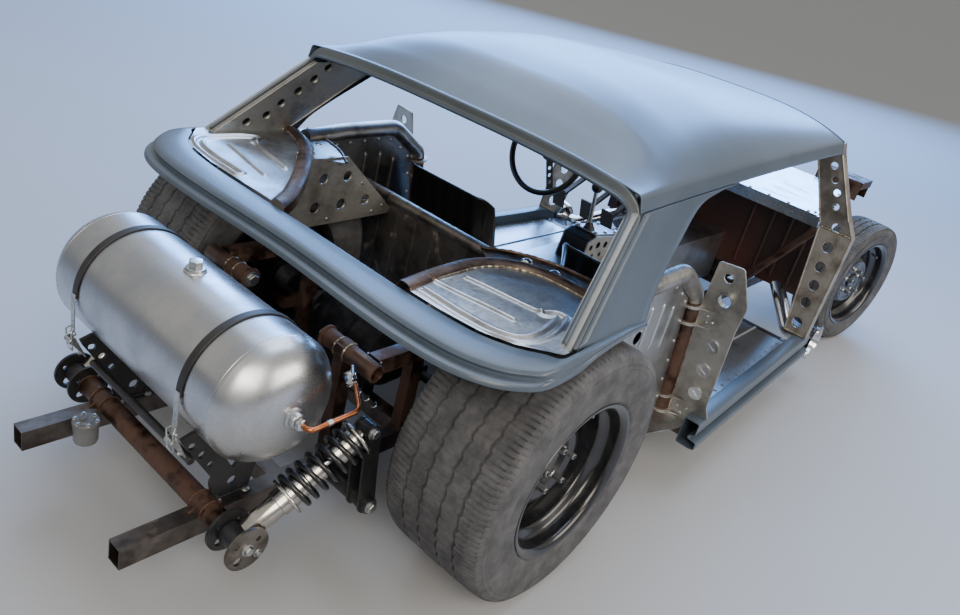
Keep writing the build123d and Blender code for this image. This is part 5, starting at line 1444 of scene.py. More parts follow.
@dataclass
class WheelTub:
    """Top of a rear wheel tub: dished sheet with beads, a rounded strip and a drilled wall."""

    side: Side
    top_z: float = 703.0
    wall_y: float = 385.0
    strip: float = 40.0        # width of the rounded strip along the edge
    strip_rise: float = 11.5
    bead_rise: float = 5.5
    bead_half: float = 9.0
    lip_rise: float = 5.0      # of the dish's border, and how deep the line beside it is
    line_depth: float = 3.0
    ripple: float = 1.6        # hammered unevenness
    centre: tuple = (-80.0, -470.0)
    beads: tuple = (((-185, -305), (-150, -515)), ((-98, -335), (-60, -522)))
    dish: tuple = ((-246, -330), (-240, -450), (-224, -548), (-178, -584), (-100, -582),
                   (-38, -564), (-34, -545), (-56, -530))
    holes: tuple = ((86, 636, 17), (176, 638, 17), (68, 547, 18), (167, 549, 18), (262, 553, 18))

    def top(self, form: Form) -> None:
        """The top sheet and its strip, as one surface of rings about the dish's middle."""
        left = self.side is Side.LEFT
        edge = curve_through(list(TUB_EDGE_LEFT if left else TUB_EDGE), 120)
        rear = np.array(TUB_REAR, float)
        loop = np.vstack([edge, rear])
        loop[:, 1] = np.maximum(loop[:, 1], -(side_y(loop[:, 0], self.top_z) - 5))
        gap = np.linalg.norm(np.roll(loop, -1, 0) - loop, axis=1)
        s = np.r_[0, np.cumsum(gap)]
        t = np.linspace(0, s[-1], 421)[:-1]
        border = np.c_[np.interp(t, s, np.r_[loop[:, 0], loop[0, 0]]),
                       np.interp(t, s, np.r_[loop[:, 1], loop[0, 1]])]
        f = np.linspace(0, 1, 108)
        centre = np.asarray(self.centre)
        flat = centre + (border[:, None] - centre) * f[None, :, None]
        away = near_line(flat, edge)
        round_off = np.sqrt(np.clip(1 - ((away - 20) / 20.5) ** 2, 0, 1))
        lift = np.where(away < self.strip, self.strip_rise * round_off, 0)
        for line in self.beads:
            d = near_line(flat, np.array(line, float))
            lift = lift + self.bead_rise * np.clip(1 - (d / self.bead_half) ** 2, 0, 1) ** 1.5
        d = near_line(flat, curve_through(list(self.dish), 60))
        border_line = (self.lip_rise * np.exp(-((d - 11) / 6.5) ** 2)
                       - self.line_depth * np.exp(-(d / 6.0) ** 2))
        lift = lift + (away > self.strip + 9) * border_line
        hammered = self.ripple * np.sin(flat[..., 0] / 31) * np.sin(flat[..., 1] / 43)
        lift = lift + hammered * (away > self.strip + 4)
        lift = lift * np.where(away < self.strip, 1, np.clip((1 - f) / 0.03, 0, 1)[None])
        points = np.concatenate([flat, (self.top_z + lift)[..., None]], -1)
        form.grid(points, WORKED_SHEET, wrap=True)
        outer = away.reshape(-1)[(form.faces[-1] - form.faces[-1].min())[:, 2]] < self.strip - 1
        form.slots[-1] = np.where(outer, form.slot_of(RUST_STRIP), form.slots[-1])
        skirt = np.stack([np.c_[edge, np.full(len(edge), z)] for z in (self.top_z, 676.0)], 1)
        form.grid(skirt, RUST_STRIP)
        inside = edge + unit(centre - edge) * (self.strip + 1.5)
        form.weld(np.c_[inside, np.full(len(inside), 704.5)][4:104], 2.8, WELD_BEAD, 5.0, UP)

    def shelf(self, form: Form) -> None:
        """The flange beyond the strip: drilled and dimpled on the left, riveted on the right."""
        left = self.side is Side.LEFT
        way = [(50, -408), (95, -470), (116, -514), (132, -570), (142, -640)] if left else [
            (38, -286), (96, -328), (130, -390), (144, -465), (142, -560), (138, -615)]
        edge = curve_through(way, 40)
        run = unit(np.gradient(edge, axis=0))
        out = np.c_[-run[:, 1], run[:, 0]]
        out *= np.sign((out * (edge - np.asarray(self.centre))).sum(1))[:, None]
        wide = np.linspace(100, 66, 40)[:, None] if left else 82.0
        outline = np.vstack([edge - out * 3, (edge + out * wide)[::-1]])
        holes = [(132, -330, 9), (150, -405, 9)]
        if left:
            holes = [(117, -395, 11), (149, -505, 11), (170, -607, 11)]
        cut = [circle(x, y, r, 22) for x, y, r in holes] if left else []
        form.plate(outline, cut, (0, 0, 692), ALONG, ACROSS, 3,
                   POLISHED_SHEET if left else RUST_STRIP)
        for x, y, r in holes:
            if left:
                form.dimple((x, y, 695), (0, 0, -1), r - 1, 7, POLISHED_SHEET, 7)
            else:
                form.lathe([(0, 0), (17, 0), (16, 5), (12, 11), (6, 14), (0, 15)], (x, y, 694), UP,
                           CHROME, 28)
        rim = np.c_[edge + out * (wide - 2), np.full(len(edge), 696.0)]
        form.weld(rim, 4.0, RUST_STRIP, 16.0, UP)
        for k in range(3, 40, 6):
            spot = edge[k] + out[k] * 4
            form.weld([(*spot, 697.0), (*(spot + run[k] * 18), 697.0)], 3.4, WELD_BEAD, 4.0, UP)

    def wall(self, form: Form) -> None:
        """The inner wall, with the flared lips of its holes."""
        outline = outline_round([(-272, 700), (-272, 590), (40, 488), (372, 496), (372, 520),
                                 (165, 700)], 6)
        cut = [circle(x, z, r, 28) for x, z, r in self.holes]
        form.plate_along(outline, cut, (0, -self.wall_y, 0), 3, POST_STEEL)
        for x, z, r in self.holes:
            form.dimple((x, -self.wall_y, z), (0, -1, 0), r - 1, 8, POST_STEEL, 8)
        x, z, r = self.holes[4]
        slot = outline_round([(x - 9, z - 2), (x + 9, z - 2), (x + 9, z + 2), (x - 9, z + 2)], 1)
        form.plate_along(circle(x, z, 15, 28), [slot], (0, -self.wall_y - 4, 0), 3, ZINC)
        end = 20 if self.side is Side.LEFT else 90
        form.weld([(-270, -self.wall_y + 2, 698), (end, -self.wall_y + 2, 698)], 3.0, WELD_BEAD,
                  5.0, UP)
        for x, z in ((140, 680), (240, 610), (340, 526), (300, 510), (120, 506)):
            form.bolt((x, -self.wall_y, z), ACROSS, 8, 4, ZINC)

    def build(self) -> None:
        """One tub on its side of the car."""
        form = Form(WORKED_SHEET)
        self.top(form)
        self.shelf(form)
        self.wall(form)
        form.build_side(self.side, "tub_top", "wheel_tub", "bare_steel", smooth=42)


@dataclass
class PillarChannels:
    """Polished channels inside the rear pillars: a wide web with six flared holes."""

    inset: float = 35.0
    depth: float = 29.0
    middle: tuple = (65.0, 822.0)
    corners: tuple = ((-139, 706), (112, 706), (372, 938), (128, 938))
    holes: tuple = ((-30, 741), (29, 763), (65, 803), (109, 843), (149, 883), (184, 920))

    def build(self) -> None:
        """Web, folded edges and welds, on both sides."""
        form = Form(POST_STEEL)
        x_dir = unit(np.array([1.0, SIDE_RUN, 0.0]))
        y_dir = np.cross(OUTWARD, x_dir)
        origin = on_side(*self.corners[0], self.inset)

        def flat(pairs: tuple) -> Array:
            """Points of X and Z on the channel's plane, in its own two coordinates."""
            p = np.array([on_side(x, z, self.inset) for x, z in pairs]) - origin
            return np.c_[p @ x_dir, p @ y_dir]

        web = flat(self.corners)
        cut = [circle(*spot, 15, 28) for spot in flat(self.holes)]
        form.plate(outline_round(web, 3), cut, origin, x_dir, y_dir, 3, POST_STEEL)
        for x, z in self.holes:
            form.dimple(on_side(x, z, self.inset), OUTWARD, 14.2, 12, POST_STEEL, 9)
        depths = np.array([0.0, 2.0, 6.0, 16.0, self.depth])
        round_in = np.array([3.5, 1.2, 0.0, 0.0, 0.0])
        middle = on_side(*self.middle, self.inset)
        for (x0, z0), (x1, z1) in ((self.corners[0], self.corners[3]),
                                   (self.corners[1], self.corners[2])):
            t = np.linspace(0, 1, 40)
            line = on_side(x0 + (x1 - x0) * t, z0 + (z1 - z0) * t, self.inset)
            into = unit(middle - line[20])
            sheet = line[:, None] + OUTWARD * depths[None, :, None] + into * round_in[None, :, None]
            back = sheet[:, ::-1] + into * 2.6
            form.grid(np.concatenate([sheet, back], 1), POST_STEEL, close=True)
            form.weld(line - OUTWARD * 0.5 + into * 6, 1.8, POST_STEEL, 9.0)
        form.mirrored()
        form.build("rear_pillar_channels", "chassis", ("c_pillar_channels",), "polished_steel",
                   smooth=42)


@dataclass
class QuarterPanel:
    """Inner panel between the rear tyre and the B-post, with ribs and a row of screws."""

    side: Side
    y: float = 567.0
    clear: float = 356.0       # radius of the cut round the tyre
    axle_z: float = 336.0
    low_z: float = 205.0

    def build(self) -> None:
        """Sheet cut round the tyre, pressed ribs, screws and an edge fold."""
        finish = DARK_SHEET if self.side is Side.LEFT else WORKED_SHEET
        form = Form(finish)
        a0 = math.asin((self.low_z - self.axle_z) / self.clear)
        a1 = math.acos(250 / self.clear)
        a = np.linspace(a0, a1, 40)
        arc = np.c_[self.clear * np.cos(a), self.axle_z + self.clear * np.sin(a)]
        top = outline_round([(250, 680), (505, 691), (629, 608)], 10)
        outline = np.vstack([arc, top, [(702, 205)]])
        form.plate_along(outline, [], (0, -self.y + 3, 0), 3, finish)
        for x, low, high in ((404, 500, 636), (470, 480, 632), (536, 470, 610)):
            line = curve_through([(x, 3 - self.y, z) for z in (low, (low + high) / 2, high)], 24)
            f = np.linspace(-1, 1, 24)
            form.tube(line, 7.5 * np.sqrt(np.clip(1 - f ** 8, 0, 1)) + 0.2, finish, 12, ACROSS)
        for x, z in ((275, 664), (330, 668), (390, 672), (450, 676), (505, 672), (560, 640),
                     (604, 606), (620, 540), (634, 470), (646, 400), (660, 330), (676, 262)):
            for side in (1, -1):
                form.lathe([(6.5, 0), (6, 2), (3.5, 3.6), (0, 4)],
                           (x, -self.y + 1.5 + side * 1.5, z), (0, side, 0), ZINC, 14)
        lip = np.c_[arc[:, 0], np.full(40, -self.y + 1.5), arc[:, 1]]
        form.tube(lip, 3.2, finish, 8, ACROSS)
        form.build_side(self.side, "quarter_sheet", "quarter_panel", "bare_steel")


@dataclass
class CentrePost:
    """B-post: rusty tube with ring plates beside a drilled steel plate."""

    side: Side
    tube_y: float = 567.0
    tube_r: float = 26.0
    top_z: float = 603.0
    ring_z: tuple = (590, 535, 270, 212)
    ring_depth: float = 6.0
    collar_r: float = 37.0
    slot_degrees: float = 35.0
    holes: tuple = ((645, 709, 14), (659, 649, 19), (662, 491, 20), (659, 406, 21), (659, 320, 20))

    def build(self) -> None:
        """Plate, tube, rings with their welds, and slotted discs in the lower holes."""
        form = Form(POST_STEEL)
        lean = Leaning(POST_FOOT, POST_HEAD)
        outline = lean.flat([(-594, 204), (-594, 606), (-606, 746), (-679, 754), (-720, 649),
                             (-710, 566), (-704, 292), (-722, 253), (-668, 253), (-668, 204)])
        lean.plate(form, outline_round(outline, 8), [(-y, z, r) for y, z, r in self.holes], 5,
                   POST_STEEL)
        y, z, r = self.holes[1]
        form.lathe([(r, 0), (r, 14), (r + 2.4, 14), (r + 2.4, 0)], lean.place(-y, z), -lean.normal,
                   ZINC, 32, close=True)
        for y, z, r in self.holes[:2]:
            form.lathe([(r, -1), (r + 3.5, -0.9), (r + 4, 0), (r, 0.2)], lean.place(-y, z),
                       lean.normal, POST_STEEL, 28, close=True)
        for y, z, r in self.holes[2:]:
            spot = lean.flat([(-y, z)])[0]
            a = math.radians(self.slot_degrees)
            bar = np.array([(-r * 0.62, -2.2), (r * 0.62, -2.2), (r * 0.62, 2.2), (-r * 0.62, 2.2)])
            bar = bar @ np.array([[math.cos(a), math.sin(a)], [-math.sin(a), math.cos(a)]]) + spot
            form.plate(circle(*spot, r + 1.5, 30), [bar], lean.low - lean.normal * 3.4, ACROSS,
                       lean.up, 3.2, BRIGHT_DECK)
        foot, head = lean.place(-self.tube_y, 200), lean.place(-self.tube_y, self.top_z)
        form.rod(foot, head, self.tube_r, RUSTY_TUBE, 40)
        depth = self.ring_depth
        for z in self.ring_z:
            ring_at = lean.place(-self.tube_y, z)
            b = np.linspace(0.35, 2 * np.pi - 0.35, 40)
            collar = np.vstack([np.c_[-self.tube_y + self.collar_r * np.cos(b + np.pi),
                                      self.collar_r * np.sin(b + np.pi)],
                                [(-664, -13), (-664, -3), (-607, 6)]])
            form.plate(collar[::-1], [circle(-self.tube_y, 0, self.tube_r, 40)], lean.place(0, z),
                       ACROSS, -lean.normal, 5, POST_STEEL)
            form.lathe([(self.tube_r, 0), (self.tube_r + 7.4, 0), (self.tube_r + 8, 0.8),
                        (self.tube_r + 8, depth - 0.8), (self.tube_r + 7.4, depth),
                        (self.tube_r, depth)], ring_at, lean.up, POST_STEEL, 44)
            a = np.linspace(0, 2 * np.pi, 50)
            seam = (ring_at - lean.up * 1.5 + np.cos(a)[:, None] * np.array([0.0, 1.0, 0.0])
                    * (self.tube_r + 1) + np.sin(a)[:, None] * lean.normal * (self.tube_r + 1))
            form.weld(seam, 2.4, WELD_BEAD, 5.0, lean.up)
        for y, z in ((-620, 572), (-640, 560), (-622, 552), (-618, 246), (-648, 250), (-634, 226)):
            form.bolt(lean.place(y, z), -lean.normal, 8, 4, ZINC)
        seam = np.array([lean.place(-594, z, 1.0) for z in np.linspace(215, 600, 30)])
        form.weld(seam, 2.6, WELD_BEAD, 6.0, ACROSS)
        form.build_side(self.side, "centre_post", "b_post", "bare_steel")


@dataclass
class FrontPillar:
    """A-pillar: a weathered channel, drilled below and above its kink."""

    side: Side
    lower_holes: tuple = ((594, 605), (601, 528), (610, 455), (611, 383), (615, 298))
    upper_holes: tuple = ((500, 897), (522, 850), (545, 807), (560, 758))
    unfolded: tuple = (-501, 980)              # start of the head's top edge, which is open

    def build(self) -> None:
        """Both webs with flared holes, their folded edges and the welds at the kink."""
        form = Form(PILLAR_STEEL)
        low, high = Leaning(PILLAR_FOOT, PILLAR_KINK), Leaning(PILLAR_KINK, PILLAR_HEAD)
        below = [(-584, 252), (-669, 252), (-660, 668), (-532, 668)]
        above = [(-532, 662), (-660, 662), (-622, 725), (-513, 943), (-501, 980), (-446, 980),
                 (-434, 908), (-529, 682)]
        low.plate(form, low.flat(below)[::-1], [(-y, z, 21) for y, z in self.lower_holes], 3,
                  PILLAR_STEEL)
        high.plate(form, outline_round(high.flat(above)[::-1], 4),
                   [(-y, z, 14) for y, z in self.upper_holes] + [(-592, 684, 17)], 3, PILLAR_STEEL)
        for y, z in self.lower_holes:
            form.dimple(low.place(-y, z), low.normal, 20, 8, PILLAR_STEEL, 6)
        for y, z in self.upper_holes:
            form.dimple(high.place(-y, z), high.normal, 13, 7, PILLAR_STEEL, 5)
        for start, end in ((below[1], below[2]), (below[3], below[0])):
            low.wall(form, start, end, 46, PILLAR_STEEL)
        for start, end in zip(above[1:7], above[2:8]):
            if start != self.unfolded:
                high.wall(form, start, end, 40, PILLAR_STEEL)
        for lean, start, end in ((low, below[1], below[2]), (low, below[0], below[3]),
                                 (high, above[2], above[3]), (high, above[6], above[7])):
            form.tube([lean.place(*start, -0.4), lean.place(*end, -0.4)], 3.4, PILLAR_STEEL, 10)
        seam = np.array([low.place(y, 668, -1) for y in np.linspace(-655, -536, 24)])
        form.weld(seam, 3.4, WELD_BEAD, 6.0, UP)
        foot = np.array([low.place(y, 256, -1) for y in np.linspace(-664, -588, 20)])
        form.weld(foot, 4.0, WELD_BEAD, 6.0, UP)
        form.build_side(self.side, "front_pillar", "a_pillar", "bare_steel")


@dataclass
class Rocker:
    """Hollow rocker pressing with a groove and a lower ridge along its outer face."""

    side: Side
    rear_y: float = 719.0
    front_x: float = 1748.0
    base: float = 162.0
    top: float = 252.0
    width: float = 50.0

    def build(self) -> None:
        """A closed hollow section: its outside, its inside and both end faces."""
        form = Form(PRIMER)
        b, t, w = self.base, self.top, self.width
        outer = np.array([(9, b + 4), (11, b + 8), (11, 186), (8, 189), (-16, 192), (-19, 196),
                          (-18, 203), (-3, 211), (0, 215), (0, 240), (0, t - 5), (-1.5, t - 1.5),
                          (-5, t), (-w + 5, t), (-w + 1.5, t - 1.5), (-w, t - 5), (-w, b + 5),
                          (-w + 1.5, b + 1.5), (-w + 5, b), (-4, b), (-1, b + 1)])
        inner = np.c_[np.clip(outer[:, 0] - 2.6, 2.6 - w, 8.0),
                      np.clip(outer[:, 1], b + 2.6, t - 2.6)]
        rows = []
        for section, x in ((outer, SILL_X), (outer, self.front_x), (inner, self.front_x),
                           (inner, SILL_X)):
            y = self.rear_y - SILL_RUN * (x - SILL_X)
            rows.append(np.c_[np.full(len(section), x), -(y + section[:, 0]), section[:, 1]])
        form.grid(np.array(rows), PRIMER, wrap=True, close=True)
        form.build_side(self.side, "rocker_pressing", "rocker", "primer", smooth=28)


@dataclass
class Seat:
    """Seat of thin black sheet: a curved ribbed back with a rolled edge, and its base."""

    side: Side
    inner: float = 134.0
    outer: float = 532.0
    ribs: int = 7
    rib_rise: float = 3.5
    pan_z: float = 209.0

    def build(self) -> None:
        """Back, wings and pan."""
        form = Form(SEAT_BLACK)
        s = np.linspace(-1, 1, 97)
        t = np.linspace(0, 1, 40)[:, None]
        middle, half = (self.inner + self.outer) / 2, (self.outer - self.inner) / 2
        z = 268 + 344 * t
        x = 608 - 54 * t
        sweep = 92 * np.clip((np.abs(s) - 0.72) / 0.28, 0, 1) ** 1.6 * (1 - 0.5 * t)
        fade = np.sin(np.pi * np.clip(t * 1.05, 0, 1)) ** 0.3
        ribs = self.rib_rise * np.cos(s * np.pi * self.ribs) * (np.abs(s) < 0.86) * fade
        low_corner = 26 * np.clip((np.abs(s) - 0.8) / 0.2, 0, 1) ** 2 * t ** 6
        y = -(middle + half * s * (1 - 0.03 * t))
        sheet = np.stack(np.broadcast_arrays(x + sweep + ribs, y, z - low_corner), -1)
        form.grid(sheet, SEAT_BLACK, flip=True)
        pan = [(1006, 0), (1010, 6), (1010, 56), (1004, 60), (980, 62), (900, 52), (760, 46),
               (640, 54), (612, 58)]
        y = np.linspace(self.inner, self.outer, 40)
        dish = 10 * np.sin(np.pi * (y - self.inner) / (self.outer - self.inner)) ** 0.5
        p = np.array(pan, float)
        depth = np.where((p[:, 0] > 640) & (p[:, 0] < 1000), 1.0, 0.0)
        height = self.pan_z + p[:, 1:] - depth[:, None] * dish[None]
        rows = np.stack(np.broadcast_arrays(p[:, :1], -y[None], height), -1)
        form.grid(rows, SEAT_BLACK)
        form.build_side(self.side, "seat_sheet", "seat", "black_paint", solid=3.0, smooth=50)


@dataclass
class ExhaustHorns:
    """Side pipes that end in wide polished horns."""

    outlet: tuple = (1852.0, 190.0)
    radius: float = 75.0

    def build(self) -> None:
        """Pipe, welded ring and the horn's outside and inside, on both sides."""
        form = Form(CHROME)
        x, z = self.outlet
        line = bent_line([(2060, -165, 330), (2060, -350, 330), (x, -555, z), (x, -592, z)], 60, 10)
        form.tube(line, 30, CHROME, 32)
        r = self.radius
        horn = [(30, 0), (36, 5), (48, 14), (58, 24), (65, 36), (70, 52), (73, 70), (74.6, 80),
                (75, 82), (74, 82), (72.4, 79), (70.5, 69), (67.5, 52), (62.5, 37), (55.5, 26),
                (45, 16), (32, 8), (27, 6)]
        form.lathe([(a * r / 75, b) for a, b in horn], (x, -590, z), (0, -1, 0), CHROME, 64)
        form.weld(side_ring((x, -590, z), 31, 50), 2.6, WELD_BEAD, 5.0, ACROSS)
        form.mirrored()
        form.build("exhaust_horns", "chassis", ("exhaust_pipes",), "polished_steel", smooth=45)


# Brackets, links and cabin pieces

def link_outline(low: tuple, low_r: float, high: tuple, high_r: float) -> Array:
    """Outline of a flat link: two round ends joined by their common tangents."""
    a, b = np.asarray(low, float), np.asarray(high, float)
    way = math.atan2(*(b - a)[::-1])
    lean = math.acos((low_r - high_r) / float(np.linalg.norm(b - a)))
    back = np.linspace(way + lean, way - lean + 2 * math.pi, 20)
    fore = np.linspace(way - lean, way + lean, 20)
    return np.vstack([a + low_r * np.c_[np.cos(back), np.sin(back)],
                      b + high_r * np.c_[np.cos(fore), np.sin(fore)]])


@dataclass
class ShockMounts:
    """Black arms from the rails up to the coilovers' front pins, with round bosses."""

    foot: tuple = (-318.0, 184.0)
    rail_out: float = 233.0

    def build(self) -> None:
        """Clevis links, their foot boss, the arm to the rail, pins and nuts, on both sides."""
        form = Form(BRACKET_BLACK)
        x, y, z = COIL_HIGH
        fx, fz = self.foot
        for edge in (y - 22, y + 16):
            form.plate_along(link_outline((fx, fz), 25, (x, z), 19), [], (0, edge + 6, 0), 6,
                             BRACKET_BLACK)
        form.rod((fx, y - 34, fz), (fx, -self.rail_out, fz), 20, BRACKET_BLACK, 36)
        form.bolt((fx, y - 34, fz), (0, -1, 0), 22, 9, ZINC)
        form.rod((x, y - 30, z), (x, y + 30, z), 8, ZINC, 20)
        form.bolt((x, y - 22, z), (0, -1, 0), 20, 9, ZINC)
        form.beam((fx + 20, y, 210), (x + 28, y, z - 34), 32, 14, BRACKET_BLACK, ALONG, 3)
        brace = outline_round([(-self.rail_out, 196), (y + 12, 196), (y + 12, 330), (y + 22, 330)],
                              4)
        form.plate(brace, [], (fx + 4, 0, 0), ACROSS, UP, 6, BRACKET_BLACK)
        form.weld(side_ring((fx, -self.rail_out - 1, fz), 21, 30), 2.8, BRACKET_BLACK, 5.0, ACROSS)
        form.mirrored()
        form.build("shock_arms", "chassis", ("shock_mounts",), "black_paint")


@dataclass
class RearLinks:
    """Trailing arms, link uprights and the open stub tubes over the rear axle."""

    stub: tuple = ((-308, -318, 499), (0, 1, 0.04))    # where the open stub starts, and its way

    def build(self) -> None:
        """Square tubes with welded joints, and the stubs' hollow ends with a black disc of painted
        shade in each bore, on both sides.
        """
        form = Form(RUSTY_TUBE)
        form.beam((330, -258, 182), (20, -352, 262), 40, 46)
        form.beam((0, -388, 281), (0, -330, 281), 84, 38)
        form.beam((325, -280, 182), (325, -233, 182), 50, 36)
        for x in (-308, -62):
            form.beam((x, -RAIL_Y, RAIL_TOP), (x, -RAIL_Y, 520), 40, 33, None, ACROSS)
            form.weld([(x - 21, -229, 206), (x + 21, -229, 206)], 3.2, WELD_BEAD, 5.0)
        form.lathe([(16, 0), (16, 168), (21, 168), (22, 166), (22, 0), (21, -2), (17, -2)],
                   *self.stub, RUSTY_TUBE, 44, close=True)
        # A black disc 120 mm down each stub's bore: painted shade inside the hollow tube.
        form.lathe([(0, 120), (16.2, 120), (16.2, 124), (0, 124)], *self.stub, SEAT_BLACK, 32)
        form.lathe([(0, 0), (24, 0), (27, 2), (27, 7), (24, 9), (0, 9)], (-308, -154, 505), ACROSS,
                   RUSTY_TUBE, 40)
        form.bolt((-308, -145, 505), ACROSS, 26, 10, ZINC)
        form.beam((-290, -285, 500), (-62, -285, 500), 38, 42)
        form.beam((-62, -290, 500), (-62, -229, 500), 40, 38)
        for y in (-306, -264):
            form.weld([(-288, y, 482), (-288, y, 518)], 3.0, WELD_BEAD, 5.0, ALONG)
        for y in (-228, -196):
            form.weld(side_ring((-308, y, 503), 22, 36), 2.8, WELD_BEAD, 5.0, ACROSS)
        form.mirrored()
        form.build("rear_links", "chassis", ("rear_arms",), "rusty_steel")


@dataclass
class CowlTrim:
    """Black plates painted as the shade inside the cowl panel's slots, its screw heads, and pressed
    ribs on the firewall.
    """

    deck_z: float = 700.0
    shade_slot_x: tuple = (1800.0, 1912.0, 2030.0)
    rear: tuple = (1727.0, 508.0)              # X and Y of the panel's rear corner
    length: float = 673.0
    narrowing: float = 88.0
    screw_inset: float = 14.0

    def build(self) -> None:
        """Black plates of painted shade where the slots are, a row of screws along each long edge,
        and seven upright ribs.
        """
        form = Form(BRACKET_BLACK)
        for x in self.shade_slot_x:
            # Each slot is a thin near-black plate flush with the deck: painted shade standing in
            # for the opening.
            slot = outline_round([(-58, -3), (58, -3), (58, 3), (-58, 3)], 2.5)
            form.plate(slot, [], (x, -305, self.deck_z - 0.6), ACROSS, (-1, 0, 0), 1.2, SEAT_BLACK)
        rear_x, rear_y = self.rear
        for x in np.linspace(1760, 2370, 9):
            edge = rear_y - self.narrowing * (x - rear_x) / self.length
            form.bolt((x, -edge + self.screw_inset, self.deck_z), UP, 9, 3, ZINC)
        for y in np.linspace(-470, -60, 6):
            form.bolt((1738, y, self.deck_z), UP, 9, 3, ZINC)
        for y in (-440, -360, -280, -190):
            form.tube([(1985.0, y, 320.0), (1983.0, y, 340.0), (1983.0, y, 640.0),
                       (1985.0, y, 660.0)], 8.0, RED_OXIDE, 12)
        form.mirrored()
        form.build("cowl_trim", "chassis", (), "bare_steel")


@dataclass
class CabinFloor:
    """Raised ribs and screw heads of the floor, and the ribs of the rear bulkhead."""

    floor_z: float = 208.0
    screw_y: float = 640.0

    def build(self) -> None:
        """Ribs along the floor and up the bulkhead, and screws beside the rocker."""
        form = Form(WORKED_SHEET)
        for y in (-210, -300, -390, -480):
            way = np.array([(1060.0, y, self.floor_z - 4), (1090.0, y, self.floor_z),
                            (1640.0, y, self.floor_z), (1670.0, y, self.floor_z - 4)])
            form.tube(way, 7.0, WORKED_SHEET, 14)
        for x in np.linspace(760, 1680, 16):
            y = self.screw_y - SILL_RUN * (x - SILL_X)
            form.bolt((x, -y, self.floor_z), UP, 10, 4, ZINC)
        for y in (-500, -420, -340, -260, -180):
            form.tube([(376.0, y, 240.0), (378.0, y, 260.0), (378.0, y, 500.0), (376.0, y, 520.0)],
                      7.0, AGED_SHEET, 14)
        form.mirrored()
        form.build("cabin_floor_ribs", "chassis", (), "bare_steel")


@dataclass
class GearShift:
    """Drilled steel shift housing on the tunnel, with its lever and knob."""

    base: float = 420.0
    holes: tuple = ((940, 480, 11), (985, 484, 13), (1035, 478, 13), (1084, 472, 11),
                    (962, 446, 9), (1012, 444, 9), (1062, 442, 9), (1110, 440, 9))
    lean: tuple = (-0.19, 0, 0.98)             # direction of the lever

    def build(self) -> None:
        """Core, drilled side plates, bolted lid, lever and knob."""
        form = Form(BRACKET_BLACK)
        profile = outline_round([(900, self.base), (1150, self.base), (1120, 500), (960, 520),
                                 (915, 505)], 6)
        form.plate_along(profile, [], (0, 50, 0), 100, SEAT_BLACK)
        holes = [circle(*hole) for hole in self.holes]
        for y in (55, -50):
            form.plate_along(profile, holes, (0, y, 0), 5, POST_STEEL)
        lid = outline_round([(-98, -48), (62, -48), (62, 48), (-98, 48)], 6)
        way = unit(np.array([160.0, 0.0, -20.0]))
        form.plate(lid, [], (1058, 0, 509), way, ACROSS, 5, WORKED_SHEET)
        for dx in (-88, -20, 52):
            for y in (-38, 38):
                form.bolt(np.array([1058, y, 514]) + way * dx, UP, 12, 6, ZINC)
        form.rod((985, 0, 512), (954, 0, 668), 7, ZINC, 20)
        a = np.linspace(0, np.pi, 17)
        form.lathe(list(zip(20 * np.sin(a), -20 * np.cos(a))), (953, 0, 682), self.lean,
                   SEAT_BLACK, 28)
        form.lathe([(0, 0), (22, 0), (20, 12), (15, 18), (15, 24), (10, 30), (7, 34), (0, 34)],
                   (984, 0, 517), self.lean, HOSE_RUBBER, 28)
        form.build("shift_box", "chassis", ("gear_shift",), "black_paint")


# Studio

@dataclass(frozen=True)
class SoftBox:
    """A rectangular light: where it stands, what it faces, its size, its power and its colour."""

    name: str
    at: tuple
    aim: tuple
    width: float
    height: float
    watts: float
    colour: str

    def build(self) -> None:
        """Makes the light."""
        data = bpy.data.lights.new(self.name, "AREA")
        data.shape = "RECTANGLE"
        data.size, data.size_y, data.energy = self.width, self.height, self.watts
        data.color = linear(self.colour)[:3]
        lamp = bpy.data.objects.new(self.name, data)
        axes = basis(np.subtract(self.at, self.aim))
        rows = [[*(axis[k] for axis in axes), self.at[k]] for k in range(3)]
        lamp.matrix_world = Matrix(rows + [[0, 0, 0, 1]])
        bpy.context.scene.collection.objects.link(lamp)


SOFT_BOXES = (
    SoftBox("overhead", (0.6, 0.8, 4.4), (0.5, 0.4, 0.0), 5.0, 3.5, 220.0, "#cfe2ff"),
    SoftBox("open_sky", (8.0, 5.6, 5.0), (0.5, 0.0, 1.0), 11.0, 6.0, 2800.0, "#74b0ff"),
    SoftBox("behind_camera", (-4.2, -3.4, 3.6), (0.0, 0.0, 0.4), 3.6, 2.6, 220.0, "#fff4e6"),
    SoftBox("right_side", (0.8, -5.0, 2.6), (0.3, 0.0, 0.3), 4.0, 2.2, 150.0, "#fff6ea"),
)


